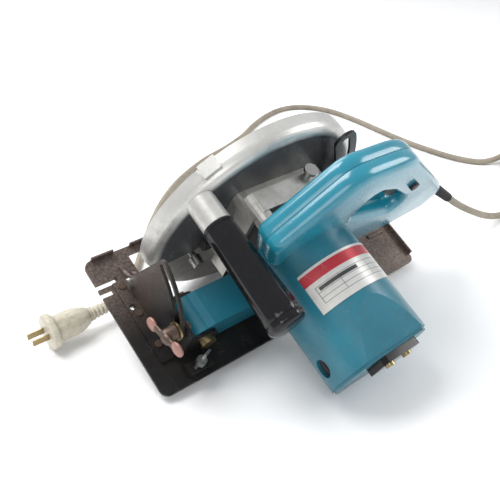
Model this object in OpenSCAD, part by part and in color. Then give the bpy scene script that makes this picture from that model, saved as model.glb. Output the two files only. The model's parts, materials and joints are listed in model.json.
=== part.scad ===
// Hand-held circular saw with a tilting base, lying on its motor and its lower guard.
// Every piece is modelled in the saw's own frame, and laid() then leans the whole saw over:
// +X runs along the cut from front to rear, +Y points to the blade side, +Z is up from the base,
// and 0, 0, 0 is the base's front corner on the motor side, at the plate's top.

/* [Blade] */
// Diameter over the teeth
blade_d = 235; // [225:1:238]
// Thickness of the blade's plate
blade_t = 2; // [1.6:0.1:2.4]
// Number of teeth
blade_teeth = 30; // [20:1:40]
// Depth of a gullet
gullet = 7; // [5:0.5:9]
// Bore of the blade
blade_bore = 25; // [22:1:30]

/* [Base] */
// Length of the base along the cut
base_l = 353; // [345:1:400]
// Width of the base
base_w = 155; // [152:1:180]
// Thickness of the base's steel
base_t = 3; // [2:0.5:4]
// Corner radius of the base
base_r = 9; // [4:1:14]
// Height of the turned-up rims over the base's top
rim_h = 6; // [4:0.5:7]
// Thickness of the rims
rim_t = 2; // [1.5:0.5:3]
// Radius of the small screw hole near the front edge
shoe_hole_r = 2.2; // [1.5:0.1:3]

/* [Arbor] */
// Distance from the base's front edge to the arbor
arbor_x = 174; // [172:1:180]
// Height of the arbor over the base's top
arbor_z = 40; // [38:1:46]
// Distance from the base's motor-side edge to the middle of the blade
blade_y = 125; // [121:1:127]
// Radius of the spindle in its ball bearing
spindle_r = 7.5; // [6:0.5:8]
// Radius of the two blade flanges
flange_r = 20; // [18:1:22]

/* [Blade case and guard] */
// Width of the blade case across the saw
case_w = 22; // [22:0.5:24]
// Wall of the blade case
case_wall = 2.5; // [2:0.25:3]
// Radial thickness of the blade case's rim
rim_wall = 3.2; // [2.5:0.1:4]
// Radial room between the lower guard and the blade case
guard_room = 1.5; // [1:0.1:2]
// Sheet of the lower guard
guard_t = 1.7; // [1.2:0.1:2]
// Radial room between the blade and the lower guard
blade_room = 1.1; // [0.9:0.1:1.5]
// Radius of the collar that the lower guard turns on
collar_r = 27; // [25:0.5:30]

/* [Gears] */
// Gear module
gear_m = 1.75; // [1.5:0.05:1.8]
// Teeth of the pinion on the armature
pinion_teeth = 9; // [8:1:9]
// Teeth of the gear on the spindle
gear_teeth = 35; // [33:1:35]
// Width of the drive gear
gear_w = 11; // [8:1:12]
// Angle of the line from the spindle up to the motor shaft
motor_angle = 109; // [106:1:112]

/* [Motor] */
// Radius of the motor housing
motor_r = 51.5; // [50:0.5:53]
// Length of the motor housing across the saw
motor_l = 140; // [136:1:150]
// Length of the two flats at the motor's free end
taper_l = 49; // [44:1:50]
// Slope of the flats
taper_a = 14; // [10:1:15]
// Wall of the motor housing
motor_wall = 3; // [2.5:0.25:4]
// Radius of the field stator
stator_r = 45; // [42:0.5:46]
// Radius of the armature core
core_r = 26; // [22:0.5:28]
// Length of the armature core
core_l = 50; // [40:1:56]

/* [Gear housing] */
// Length of the gear housing along the cut
housing_l = 96; // [94:1:104]
// Height of the gear housing's top over the base
housing_top = 123; // [122:0.5:126]
// Width of the gear housing across the saw
housing_w = 36.5; // [36.5:0.5:40]
// Width of the black baffle between the motor and the gear housing
baffle_w = 20; // [14:1:24]

/* [Handle] */
// Width of the handle
handle_w = 32; // [28:1:36]
// Wall of the handle's shells
handle_wall = 3; // [2.5:0.5:4]
// Radius of the side grip where it starts
grip_r0 = 15; // [13:0.5:15.5]
// Radius of the side grip at its free end
grip_r1 = 18.5; // [16:0.5:19]
// Length of the side grip
grip_l = 110; // [95:1:120]

/* [Depth and bevel] */
// Distance from the base's front edge to the depth pivot
pivot_x = 57; // [55:1:60]
// Height of the depth pivot over the base's top
pivot_z = 20; // [19:1:22]
// Largest depth angle
depth_max = 26; // [20:1:26]
// Radius of the depth guide's slot round the pivot
guide_r = 218; // [214:1:220]
// Distance of the bevel axis from the base's motor-side edge
bevel_y = 112; // [111:1:114]
// Height of the bevel axis over the base's top
bevel_z = 12; // [11.5:0.5:13]
// Radius of the bevel quadrant's slot
bevel_slot_r = 78; // [74:1:80]
// Angle of the wing bolt up from the base, at the square setting
bevel_start = 22; // [20:1:24]
// Largest bevel angle
bevel_max = 45; // [40:1:45]

/* [Cord] */
// Diameter of the cord
cord_d = 8.5; // [7:0.5:9]
// Outer radius of the coiled length
coil_r = 51.5; // [48:0.5:60]
// Radius of the coil's open middle
coil_hole_r = 33.5; // [25:0.5:35]

/* [Clearances] */
// Radial room of a shaft or a pin in its bore
fit = 0.05; // [0.02:0.01:0.08]
// Gap between neighbouring pieces that move against each other
gap = 0.4; // [0.3:0.05:0.6]
// Gap between fixed neighbours with curved faces
seat = 0.15; // [0.1:0.05:0.3]

/* [Hidden] */
$fn = 64;

teal = [0.05, 0.45, 0.55];
cast = [0.78, 0.78, 0.76];
steel = [0.62, 0.62, 0.62];
worn = [0.36, 0.30, 0.27];
black = [0.07, 0.07, 0.08];
yellow = [0.80, 0.66, 0.32];
copper = [0.72, 0.45, 0.25];
pink = [0.72, 0.52, 0.46];
ivory = [0.85, 0.83, 0.74];
cord_grey = [0.62, 0.57, 0.50];

// Places across the saw, from the blade to the motor's end
case_y = blade_y - 10.5;
case_y1 = case_y + case_w;
housing_y = case_y - housing_w;
baffle_y = housing_y - baffle_w;
motor_y = baffle_y - motor_l;
handle_y = baffle_y - 8;

// Radii of the blade, the lower guard and the blade case
blade_r = blade_d / 2;
guard_in_r = blade_r + blade_room;
guard_r = guard_in_r + guard_t;
case_in_r = guard_r + guard_room;
case_r = case_in_r + rim_wall;
guard_y = case_y + case_wall + 0.6;
guard_y1 = case_y1 - 2.5;
guard_fillet = 6;
case_fillet = 12;
chord_front = 10;
chord_slope = 9;

// Gear train
gear_cd = gear_m * (gear_teeth + pinion_teeth) / 2;
motor_x = arbor_x + gear_cd * cos(motor_angle);
motor_z = arbor_z + gear_cd * sin(motor_angle);
gear_r = gear_m * gear_teeth / 2;
pinion_r = gear_m * pinion_teeth / 2;
gear_head = 0.75 * gear_m;
gear_foot = 1.15 * gear_m;
gear_angle = 25;
gear_thin = 0.05 * gear_m;
gear_y = housing_y + 11.5;
gear_room_r = gear_r + gear_head + 1.5;
spindle_bearing_r = 16;
spindle_bearing_w = 9;
retainer_y = gear_y + gear_w + 1.6 + spindle_bearing_w;

// Motor housing and what is inside it
taper_y = motor_y + taper_l;
flange_half = 47;
flange_t = 8;
screw_off = 39;
cover_half = 24;
cover_screw_x = 11;
cover_z0 = 4;
cover_z1 = 34;
cover_screws_at = [motor_x - cover_screw_x, motor_x + cover_screw_x];
cover_screw_z = motor_z + 23;
cover_screw_r = 1.8;
boss_len = 20;
screw_boss_r = 7.5;
end_wall = 4;
end_step = 3;
brush_y = motor_y + 22;
brush_tilt = -6;
brush_hole_r = 9;
core_y = motor_y + 48;
comm_r = 14;
comm_l = 20;
shaft_r = 5;
armature_bearing_r = 13;
tail_bearing_r = 11;
tail_bearing_w = 8;
fan_r = 38;
fan_w = 12;

// Gear housing
housing_x = motor_x - flange_half;
housing_z = 4;
housing_r = 12;
nose_x = 122;
nose_x1 = 232;
nose_top = 103;
nose_y = housing_y + 21;
housing_wall = 4;
column_w = 13;
spindle_tail_r = 5.5;
bush_r = 8;
column_at = [for (x = [-1, 1], z = [-1, 1]) [motor_x + x * screw_off, motor_z + z * screw_off]];
screw_r = 2.2;

// Front arm and its bracket
arm_w = 38;
arm_y = handle_y - 20;
arm_r = 17;
pivot_r = 5;
bracket_t = 4;
bracket_x = 31.2;
bracket_wall = 3;
wing_y = bevel_y - bevel_slot_r * cos(bevel_start);
wing_z = bevel_z + bevel_slot_r * sin(bevel_start);
wing_r = 4;
quadrant_t = 3;
quadrant_x = bracket_x - gap - quadrant_t;
quadrant_edge = 8;
lug_r = 9;
hinge_r = 3;
washer_t = 2;

// Depth guide at the rear
guide_t = 3;
guide_w = 25;
guide_y = case_y - 11.5;
guide_start = 9;
guide_end = guide_start + depth_max;
clamp_r = 4;
clamp_x = pivot_x + guide_r * cos(guide_start);
clamp_z = pivot_z + guide_r * sin(guide_start);
lug_x = arbor_x + case_r + 3.5;
lug_t = 4;

// Openings of the base
opening_x = arbor_x - case_r - 3;
opening_x1 = arbor_x + guard_r + 6;
opening_y = housing_y - 3;
opening_y1 = case_y1 + 9;
inner_x1 = 252;
inner_y = bevel_y - 11;

// Side grip
boss_r = 14;
boss_l = 27;
grip_x = 81;
grip_z = 111;
grip_y = case_y - boss_l;

// Handle: outline corners as [x, z, radius] from the side, in the saw's frame
handle_outer = [[104, 92, 1], [205, 56, 1], [300, 58, 4], [346, 64, 12], [365.5, 92, 16], [238, 196, 60],
    [164, 200, 34], [99, 131, 12]];
handle_inner = [[190, 130, 6], [318, 88, 9], [240, 146, 16], [206, 160, 12]];
handle_screw_at = [[126, 126], [184, 178], [338, 82], [254, 84]];
core_clear = 0.4;
// The grip's underside, which the trigger sits in
grip_slope = atan2(88 - 146, 318 - 240);
grip_foot = [240, 146];
trigger_w = 12;
trigger_at = [8, 4];
trigger_pin_r = 1.5;
trigger_pin_l = 11;
button_at = [24, 16];
button_r = 5;
button_travel = 3;
lock_travel = 5;
lock_off = 16;
lock_r = 4;
lock_tip = arbor_z + sqrt(pow(gear_r + gear_head, 2) - pow(lock_off - lock_r, 2)) + lock_travel + 1;

// Cord guard at the handle's rear end
cord_from = [352, 0, 90];
cord_slope = 32;
cord_turn = 18;
cord_guard_l = 62;
cord_guard_r0 = 6.5;
cord_guard_r1 = 5.4;

// How the saw lies: the motor's end edge and the lower guard both touch the floor
motor_foot_y = motor_y + end_step;
motor_foot_z = motor_z - motor_r + (taper_y - motor_foot_y) * tan(taper_a);
guard_arc_y = guard_y + guard_fillet;
guard_arc_z = arbor_z - guard_r + guard_fillet;
foot_span = norm([guard_arc_y - motor_foot_y, guard_arc_z - motor_foot_z]);
lean = asin(guard_fillet / foot_span) + atan2(motor_foot_z - guard_arc_z, guard_arc_y - motor_foot_y);
lift = -(motor_foot_y * sin(lean) + motor_foot_z * cos(lean));
row_x = 180.43;
row_y = 11.89;

// Cord on the floor, in the leaned frame: the points of its two free stretches
cord_r = cord_d / 2;
coil_at = [530, 28];
coil_h = 17.2;
out_points = [[220.5, -11.5, 75.4], [247, -11, 56], [279, -12, 36], [313, -14, 18], [345, -16, 7.5],
    [380, -18.5, cord_r], [415, -20, cord_r], [450, -20.5, cord_r], [485, -20, cord_r], [521, -18.5, cord_r]];
back_points = [[552, 70, 10], [530, 80, 12.5], [512, 84, 10], [495, 90, 6], [480, 102, cord_r], [469, 119, cord_r],
    [462, 140, cord_r], [458, 168, cord_r], [456, 208, cord_r], [457, 245, cord_r], [462, 296, cord_r],
    [467, 346, cord_r], [468, 398, cord_r], [459, 439, cord_r], [437, 469, cord_r], [405, 481, cord_r],
    [363, 474, cord_r], [317, 455, cord_r], [267, 427, cord_r], [215, 406, cord_r], [162, 391, cord_r],
    [116, 371, cord_r], [72, 346, cord_r], [29, 313, cord_r], [-11, 275, cord_r], [-48, 235, cord_r],
    [-81, 198, cord_r], [-108, 168, cord_r], [-130, 145, 9], [-149.5, 133, 18]];
plug_at = [-200, 129];
plug_z = 20;
plug_r = 20;

// ---- Helpers ----

// Leans the saw over and stands it on the floor
module laid() {
    translate([-row_x, -row_y, lift]) rotate([lean, 0, 0]) children();
}

// Round bar along Y, X or Z
module bar_y(x, z, y0, y1, r) {
    translate([x, y0, z]) rotate([-90, 0, 0]) cylinder(h = y1 - y0, r = r);
}
module bar_x(y, z, x0, x1, r) {
    translate([x0, y, z]) rotate([0, 90, 0]) cylinder(h = x1 - x0, r = r);
}
module bar_z(x, y, z0, z1, r) {
    translate([x, y, z0]) cylinder(h = z1 - z0, r = r);
}

// Outline seen from the side (x, z) made thick from y0 to y1
module slab(y0, y1) {
    translate([0, y1, 0]) rotate([90, 0, 0]) linear_extrude(y1 - y0) children();
}
// Outline seen from the front (y, z) made thick from x0 to x1
module front_slab(x0, x1) {
    translate([x0, 0, 0]) rotate([90, 0, 90]) linear_extrude(x1 - x0) children();
}
// Profile of [radius, y] points turned about the Y axis through x, z
module turned(x, z, profile) {
    translate([x, 0, z]) rotate([-90, 0, 0]) rotate_extrude() polygon(profile);
}
module block(x0, x1, y0, y1, z0, z1) {
    translate([x0, y0, z0]) cube([x1 - x0, y1 - y0, z1 - z0]);
}

function unit(v) = v / norm(v);
function flat(p) = [p[0], p[1]];
function arc(cx, cy, r, a0, a1, steps = 8) =
    [for (i = [0:steps]) let (a = a0 + (a1 - a0) * i / steps) [cx + r * cos(a), cy + r * sin(a)]];
// One corner [x, y, radius] between its neighbours, as the points of its arc
function corner(a, b, c, steps = 6) =
    let (u = unit(flat(a) - flat(b)), v = unit(flat(c) - flat(b)), half = acos(u * v) / 2,
         mid = flat(b) + unit(u + v) * b[2] / sin(half), start = flat(b) + u * b[2] / tan(half) - mid,
         a0 = atan2(start[1], start[0]), turn = (180 - 2 * half) * (cross(u, v) > 0 ? -1 : 1))
    arc(mid[0], mid[1], b[2], a0, a0 + turn, steps);
function rounded(pts) = [for (i = [0:len(pts) - 1])
    each corner(pts[(i + len(pts) - 1) % len(pts)], pts[i], pts[(i + 1) % len(pts)])];
function rounded_box(x0, x1, y0, y1, r) = rounded([[x0, y0, r], [x1, y0, r], [x1, y1, r], [x0, y1, r]]);

// Involute gear outline
function involute(a) = tan(a) * 180 / PI - a;
function half_tooth(r, teeth) = let (pitch_r = gear_m * teeth / 2, base_r = pitch_r * cos(gear_angle))
    90 / teeth - gear_thin / pitch_r * 90 / PI + involute(gear_angle) - involute(acos(min(1, base_r / max(r, base_r))));
function gear_outline(teeth) = let (p = gear_m * teeth / 2,
        rise = [p - gear_foot, p - gear_foot * 0.4, p, p + gear_head * 0.5, p + gear_head])
    [for (i = [0:teeth - 1], side = [-1, 1], k = [0:4])
        let (r = rise[side < 0 ? k : 4 - k], a = 360 * i / teeth + side * half_tooth(r, teeth))
        r * [cos(a), sin(a)]];

// Round tube along points: rings stand square to the route, which is rounded off between its points
function spline(p, i, t) = let (a = p[max(i - 1, 0)], b = p[i], c = p[i + 1], d = p[min(i + 2, len(p) - 1)])
    0.5 * (2 * b + (c - a) * t + (2 * a - 5 * b + 4 * c - d) * t * t + (3 * b - a - 3 * c + d) * t * t * t);
function route(p, parts) = concat([for (i = [0:len(p) - 2], k = [0:parts - 1]) spline(p, i, k / parts)],
    [p[len(p) - 1]]);
function heading(p, i) = unit(p[min(i + 1, len(p) - 1)] - p[max(i - 1, 0)]);
module tube(p, r, sides = 8) {
    rings = [for (i = [0:len(p) - 1])
        let (d = heading(p, i), side = unit(cross([0, 0, 1], d)), up = cross(d, side))
        for (k = [0:sides - 1]) p[i] + r * (cos(360 * (k + 0.5) / sides) * side
            + sin(360 * (k + 0.5) / sides) * up)];
    last = len(p) - 1;
    walls = [for (i = [0:last - 1], k = [0:sides - 1])
        [i * sides + k, (i + 1) * sides + k, (i + 1) * sides + (k + 1) % sides, i * sides + (k + 1) % sides]];
    polyhedron(rings, concat(walls, [[for (k = [0:sides - 1]) k]],
        [[for (k = [sides - 1:-1:0]) last * sides + k]]), convexity = 10);
}

// ---- Blade case and gear housing ----

// Everything under the blade case's lower edge, which rises to the rear
module under_chord() {
    translate([arbor_x - case_r, 0, chord_front]) rotate([0, -chord_slope, 0])
        block(-40, 3 * case_r, case_y - 60, case_y1 + 10, -300, 0);
}

module blade_case() {
    inner_fillet = case_fillet - rim_wall;
    color(cast) {
        difference() {
            union() {
                turned(arbor_x, arbor_z, concat([[collar_r + 1, case_y]],
                    arc(case_r - case_fillet, case_y + case_fillet, case_fillet, -90, 0),
                    [[case_r, case_y1], [case_r - 13, case_y1], [case_r - 13, case_y1 - 1.9],
                     [case_in_r, case_y1 - 1.9]],
                    arc(case_in_r - inner_fillet, case_y + case_wall + inner_fillet, inner_fillet, 0, -90),
                    [[collar_r + 1, case_y + case_wall]]));
                // stop tab on the rim
                translate([arbor_x, 0, arbor_z]) rotate([0, 50, 0])
                    block(-case_r - 5, -case_r + 2, case_y + 8, case_y1, -9, 9);
            }
            under_chord();
        }
        // boss of the side grip
        difference() {
            bar_y(grip_x, grip_z, grip_y, case_y + 1, boss_r);
            bar_y(grip_x, grip_z, grip_y - 1, case_y - 3, 5 + fit);
            bar_y(arbor_x, arbor_z, case_y + case_wall, case_y1, case_r - case_fillet);
        }
        // boss of the depth clamp
        difference() {
            bar_y(clamp_x, clamp_z, guide_y + guide_t + gap, case_y + 1, 10);
            bar_y(clamp_x, clamp_z, guide_y, case_y - 1, clamp_r + fit);
        }
    }
}

module column(at, y0, y1) {
    block(at[0] - column_w / 2, at[0] + column_w / 2, y0, y1, at[1] - column_w / 2, at[1] + column_w / 2);
}

module gear_housing() {
    wall_y = gear_y - 1.5;
    far_y = gear_y + gear_w + 1.5;
    color(cast) difference() {
        union() {
            slab(housing_y, nose_y) polygon(rounded_box(housing_x, housing_x + housing_l, housing_z,
                housing_top, housing_r));
            slab(nose_y, case_y) polygon(rounded_box(nose_x, nose_x1, housing_z, nose_top, housing_r));
            bar_y(arbor_x, arbor_z, housing_y, case_y, gear_room_r + 3.5);
            intersection() {
                for (at = column_at) column(at, baffle_y, housing_y + 10);
                flange_slab(baffle_y, housing_y + 10, 0);
            }
        }
        // gear room
        bar_y(arbor_x, arbor_z, wall_y, far_y, gear_room_r);
        bar_y(motor_x, motor_z, wall_y, far_y, pinion_r + gear_head + 2);
        // pocket for grease above the gears
        block(housing_x + housing_r, housing_x + housing_l - housing_r, wall_y, nose_y - 3,
            motor_z + 14, housing_top - housing_wall);
        // bearings
        bar_y(arbor_x, arbor_z, far_y - 1, case_y + 1, spindle_bearing_r);
        bar_y(arbor_x, arbor_z, retainer_y, case_y + 1, collar_r + fit);
        bar_y(arbor_x, arbor_z, housing_y + 2, wall_y + 1, bush_r);
        bar_y(motor_x, motor_z, housing_y - 1, wall_y - 2, armature_bearing_r);
        bar_y(motor_x, motor_z, housing_y - 1, wall_y + 1, shaft_r + 3);
        // shaft lock and screws
        bar_z(arbor_x + lock_off, gear_y + gear_w / 2, arbor_z + 20, housing_top + 1, lock_r + fit);
        for (at = column_at) bar_y(at[0], at[1], baffle_y - 1, housing_y + 8, screw_r + fit);
    }
}

module baffle_plate() {
    inset = 5;
    color(black) difference() {
        union() {
            flange_slab(baffle_y, housing_y, -inset);
            bar_y(motor_x, motor_z, baffle_y, baffle_y + 3, motor_r - motor_wall - 1);
        }
        bar_y(motor_x, motor_z, baffle_y - 1, housing_y + 1, armature_bearing_r + 8);
        for (at = column_at) block(at[0] - column_w / 2 - seat, at[0] + column_w / 2 + seat, baffle_y - 1,
            housing_y + 1, at[1] - column_w / 2 - seat, at[1] + column_w / 2 + seat);
    }
}

module spindle_bearing() {
    y0 = retainer_y - spindle_bearing_w;
    color(steel) turned(arbor_x, arbor_z, [[spindle_r + fit, y0], [spindle_bearing_r, y0],
        [spindle_bearing_r, retainer_y], [spindle_r + fit, retainer_y]]);
}
module spindle_bush() {
    color(yellow) turned(arbor_x, arbor_z, [[spindle_tail_r + fit, housing_y + 2], [bush_r, housing_y + 2],
        [bush_r, gear_y - 1.6], [spindle_tail_r + fit, gear_y - 1.6]]);
}
module bearing_retainer() {
    y1 = guard_y + guard_t + 0.6;
    color(steel) turned(arbor_x, arbor_z, [[spindle_r + 2.5, retainer_y], [collar_r, retainer_y], [collar_r, y1],
        [spindle_r + 5, y1], [spindle_r + 5, retainer_y + 3], [spindle_r + 2.5, retainer_y + 3]]);
}
module armature_bearing(y0, y1, r) {
    turned(motor_x, motor_z, [[shaft_r + fit, y0], [r, y0], [r, y1], [shaft_r + fit, y1]]);
}
module armature_bearings() {
    color(steel) {
        armature_bearing(housing_y, housing_y + 7.5, armature_bearing_r);
        armature_bearing(motor_y + end_wall, motor_y + end_wall + tail_bearing_w, tail_bearing_r);
    }
}
module guard_stop() {
    color(black) difference() {
        block(104, 120, case_y - 9, case_y, 27, 39);
        under_chord();
    }
}
module side_grip() {
    y1 = grip_y - 0.2;
    y0 = y1 - grip_l;
    color(black) turned(grip_x, grip_z, concat([[5 + seat, y0 + 12], [5 + seat, y1], [grip_r0, y1],
        [grip_r0, y1 - 3], [grip_r1, y0 + 6]], arc(grip_r1 - 6, y0 + 6, 6, 0, -90, 4), [[0, y0], [0, y0 + 12]]));
}
module grip_bolt() {
    color(steel) bar_y(grip_x, grip_z, grip_y - 70, case_y - 4, 5);
}
module depth_clamp_bolt() {
    color(steel) bar_y(clamp_x, clamp_z, guide_y - 9, case_y - 1.5, clamp_r);
}

// ---- Motor ----

// One flat at the motor's free end, facing the given angle
module motor_flat(angle, inset) {
    translate([motor_x, taper_y, motor_z]) rotate([0, -angle, 0]) translate([motor_r - inset, 0, 0])
        rotate([0, 0, -taper_a]) block(0, 40, -100, 20, -60, 60);
}
module motor_room(y0, y1, inset) {
    difference() {
        bar_y(motor_x, motor_z, y0, y1, motor_r - inset);
        motor_flat(98, inset);
        motor_flat(270, inset);
    }
}
module flange_slab(y0, y1, out) {
    slab(y0, y1) polygon(rounded_box(motor_x - flange_half - out, motor_x + flange_half + out,
        motor_z - flange_half - out, motor_z + flange_half + out, housing_r));
}
// A bar along the brushes' tilted line, on the side given by sign, from r0 to r1 off the motor's axis
module brush_bar(sign, r0, r1, r) {
    translate([motor_x, brush_y, motor_z]) rotate([0, sign > 0 ? brush_tilt : brush_tilt + 180, 0])
        translate([-r1, 0, 0]) rotate([0, 90, 0]) cylinder(h = r1 - r0, r = r);
}
brush_reach = motor_r + 0.5;
brush_seat = brush_reach - 8;

module motor_housing() {
    color(teal) difference() {
        union() {
            difference() {
                union() {
                    motor_room(motor_y, motor_y + end_step, end_step - 1);
                    motor_room(motor_y + end_step, baffle_y, 0);
                    flange_slab(baffle_y - flange_t, baffle_y, 0);
                    for (at = column_at) bar_y(at[0], at[1], baffle_y - boss_len, baffle_y, screw_boss_r);
                }
                motor_room(motor_y + end_wall, baffle_y + 1, motor_wall);
            }
            // bearing boss in the end wall
            difference() {
                bar_y(motor_x, motor_z, motor_y + 1, motor_y + end_wall + tail_bearing_w, tail_bearing_r + 3);
                bar_y(motor_x, motor_z, motor_y + end_wall, motor_y + 40, tail_bearing_r);
            }
            // ribs that hold the stator, and screw bosses
            intersection() {
                motor_room(core_y, core_y + core_l, 1);
                for (a = [0:90:270]) translate([motor_x, core_y, motor_z]) rotate([0, a, 0])
                    block(stator_r, 80, 0, core_l, -4, 4);
            }
            intersection() {
                motor_room(baffle_y - boss_len, baffle_y, 1);
                for (at = column_at) bar_y(at[0], at[1], baffle_y - boss_len, baffle_y, screw_boss_r);
            }
            // brush seats
            intersection() {
                motor_room(motor_y + 1, baffle_y, 1);
                for (sign = [-1, 1]) brush_bar(sign, 42, 90, brush_hole_r + 3);
            }
            front_arm();
        }
        for (sign = [-1, 1]) {
            brush_bar(sign, 36, 90, brush_hole_r - 2);
            brush_bar(sign, brush_seat, 90, brush_hole_r);
        }
        for (at = column_at) bar_y(at[0], at[1], baffle_y - 40, baffle_y + 1, screw_r + fit);
        bar_y(pivot_x, pivot_z, arm_y - 1, arm_y + arm_w + 1, pivot_r + fit);
        for (x = cover_screws_at) bar_y(x, cover_screw_z, motor_y - 1, motor_y + 16, cover_screw_r);
        for (side = [-1, 1]) bar_y(motor_x + side * 36, motor_z - 14, motor_y - 1, motor_y + end_wall + 1, 3);
    }
}
// The arm that reaches forward to the depth pivot, and runs under the motor up to its flange
module arm_side(y0, y1, x1) {
    slab(y0, y1) polygon([[pivot_x, pivot_z - arm_r], [x1, pivot_z - arm_r], [x1, pivot_z + arm_r + 2],
        [pivot_x + 8, pivot_z + arm_r + 2], [pivot_x, pivot_z + arm_r]]);
}
module front_arm() {
    difference() {
        union() {
            bar_y(pivot_x, pivot_z, arm_y, arm_y + arm_w, arm_r);
            arm_side(arm_y, baffle_y, motor_x);
            arm_side(arm_y, arm_y + arm_w, housing_x - 2);
        }
        motor_room(arm_y - 1, baffle_y + 1, motor_wall / 2);
    }
}
module rear_cover() {
    color(black) difference() {
        slab(motor_y - 7, motor_y) polygon(rounded_box(motor_x - cover_half, motor_x + cover_half,
            motor_z + cover_z0, motor_z + cover_z1, 6));
        for (x = cover_screws_at) bar_y(x, cover_screw_z, motor_y - 8, motor_y + 1, screw_r + fit);
    }
}
module cover_screws() {
    color(yellow) for (x = cover_screws_at) {
        bar_y(x, cover_screw_z, motor_y - 9.5, motor_y - 7, 4.5);
        bar_y(x, cover_screw_z, motor_y - 7.5, motor_y + 14, cover_screw_r);
    }
}
module housing_screws() {
    color(steel) for (at = column_at) {
        bar_y(at[0], at[1], baffle_y - 18, housing_y + 7, screw_r);
    }
}
// Nameplate, wrapped round the motor's top
plate_x0 = motor_x - 42;
plate_x1 = motor_x + 38;
plate_y0 = -26;
plate_y1 = 14;
plate_t = 0.8;
module nameplate() {
    color(cast) intersection() {
        difference() {
            bar_y(motor_x, motor_z, plate_y0, plate_y1, motor_r + plate_t);
            bar_y(motor_x, motor_z, plate_y0 - 1, plate_y1 + 1, motor_r);
        }
        block(plate_x0, plate_x1, plate_y0, plate_y1, motor_z, motor_z + motor_r + 5);
    }
}
module field_stator() {
    color(steel) difference() {
        bar_y(motor_x, motor_z, core_y, core_y + core_l, stator_r - seat);
        bar_y(motor_x, motor_z, core_y - 1, core_y + core_l + 1, core_r + 0.6);
        for (side = [-1, 1]) block(motor_x - 18, motor_x + 18, core_y - 1, core_y + core_l + 1,
            motor_z + side * 34 - 4, motor_z + side * 34 + 4);
    }
}
module field_coils() {
    color(copper) for (side = [-1, 1])
        block(motor_x - 17.8, motor_x + 17.8, core_y - 6, core_y + core_l + 6,
            motor_z + side * 34 - 3.8, motor_z + side * 34 + 3.8);
}
module brush_holders() {
    color(yellow) for (sign = [-1, 1]) difference() {
        brush_bar(sign, comm_r + 4, brush_seat - 2, brush_hole_r - 2 - seat);
        translate([motor_x, brush_y, motor_z]) rotate([0, sign > 0 ? brush_tilt : brush_tilt + 180, 0])
            block(-60, -comm_r - 2, -5.2, 5.2, -3.2, 3.2);
    }
}
module carbon_brushes() {
    color(black) for (sign = [-1, 1])
        translate([motor_x, brush_y, motor_z]) rotate([0, sign > 0 ? brush_tilt : brush_tilt + 180, 0])
            block(-comm_r - 17, -comm_r - 0.3, -5, 5, -3, 3);
}
module brush_caps() {
    color(black) for (sign = [-1, 1]) difference() {
        brush_bar(sign, brush_seat, brush_seat + 3.5, brush_hole_r - seat);
        translate([motor_x, brush_y, motor_z]) rotate([0, sign > 0 ? brush_tilt : brush_tilt + 180, 0])
            block(-90, -brush_seat - 2, -6, 6, -0.8, 0.8);
    }
}
module armature_shaft() {
    color(steel) {
        bar_y(motor_x, motor_z, motor_y + end_wall + 0.5, gear_y, shaft_r);
        slab(gear_y - 1, gear_y + gear_w + 1) translate([motor_x, motor_z])
            rotate(motor_angle + 180 + 180 / pinion_teeth) polygon(gear_outline(pinion_teeth));
    }
}
module armature_core() {
    color(steel) difference() {
        bar_y(motor_x, motor_z, core_y, core_y + core_l, core_r);
        bar_y(motor_x, motor_z, core_y - 1, core_y + core_l + 1, shaft_r);
        for (a = [0:30:330]) translate([motor_x, core_y, motor_z]) rotate([0, a, 0])
            block(core_r - 3, core_r + 1, -1, core_l + 1, -1.4, 1.4);
    }
}
module commutator() {
    color(copper) difference() {
        bar_y(motor_x, motor_z, brush_y - comm_l / 2, brush_y + comm_l / 2, comm_r);
        bar_y(motor_x, motor_z, brush_y - comm_l, brush_y + comm_l, shaft_r);
    }
}
module cooling_fan() {
    y1 = baffle_y - 5;
    color(black) {
        difference() {
            union() {
                bar_y(motor_x, motor_z, y1 - 2, y1, fan_r);
                bar_y(motor_x, motor_z, y1 - fan_w, y1, shaft_r + 4);
            }
            bar_y(motor_x, motor_z, y1 - fan_w - 1, y1 + 1, shaft_r);
        }
        for (a = [0:24:336]) translate([motor_x, 0, motor_z]) rotate([0, a, 0])
            block(16, fan_r, y1 - fan_w, y1 - 1, -0.8, 0.8);
    }
}

// ---- Handle ----

module handle_outline() {
    difference() {
        polygon(rounded(handle_outer));
        polygon(rounded(handle_inner));
    }
}
// The room that the motor, its flange, the baffle and the gear housing take from the handle
module handle_core() {
    motor_room(handle_y - 40, baffle_y + 3, -core_clear);
    flange_slab(baffle_y - flange_t - core_clear, housing_y, core_clear);
    for (at = column_at) bar_y(at[0], at[1], baffle_y - boss_len - core_clear, baffle_y, screw_boss_r + core_clear);
}
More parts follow.
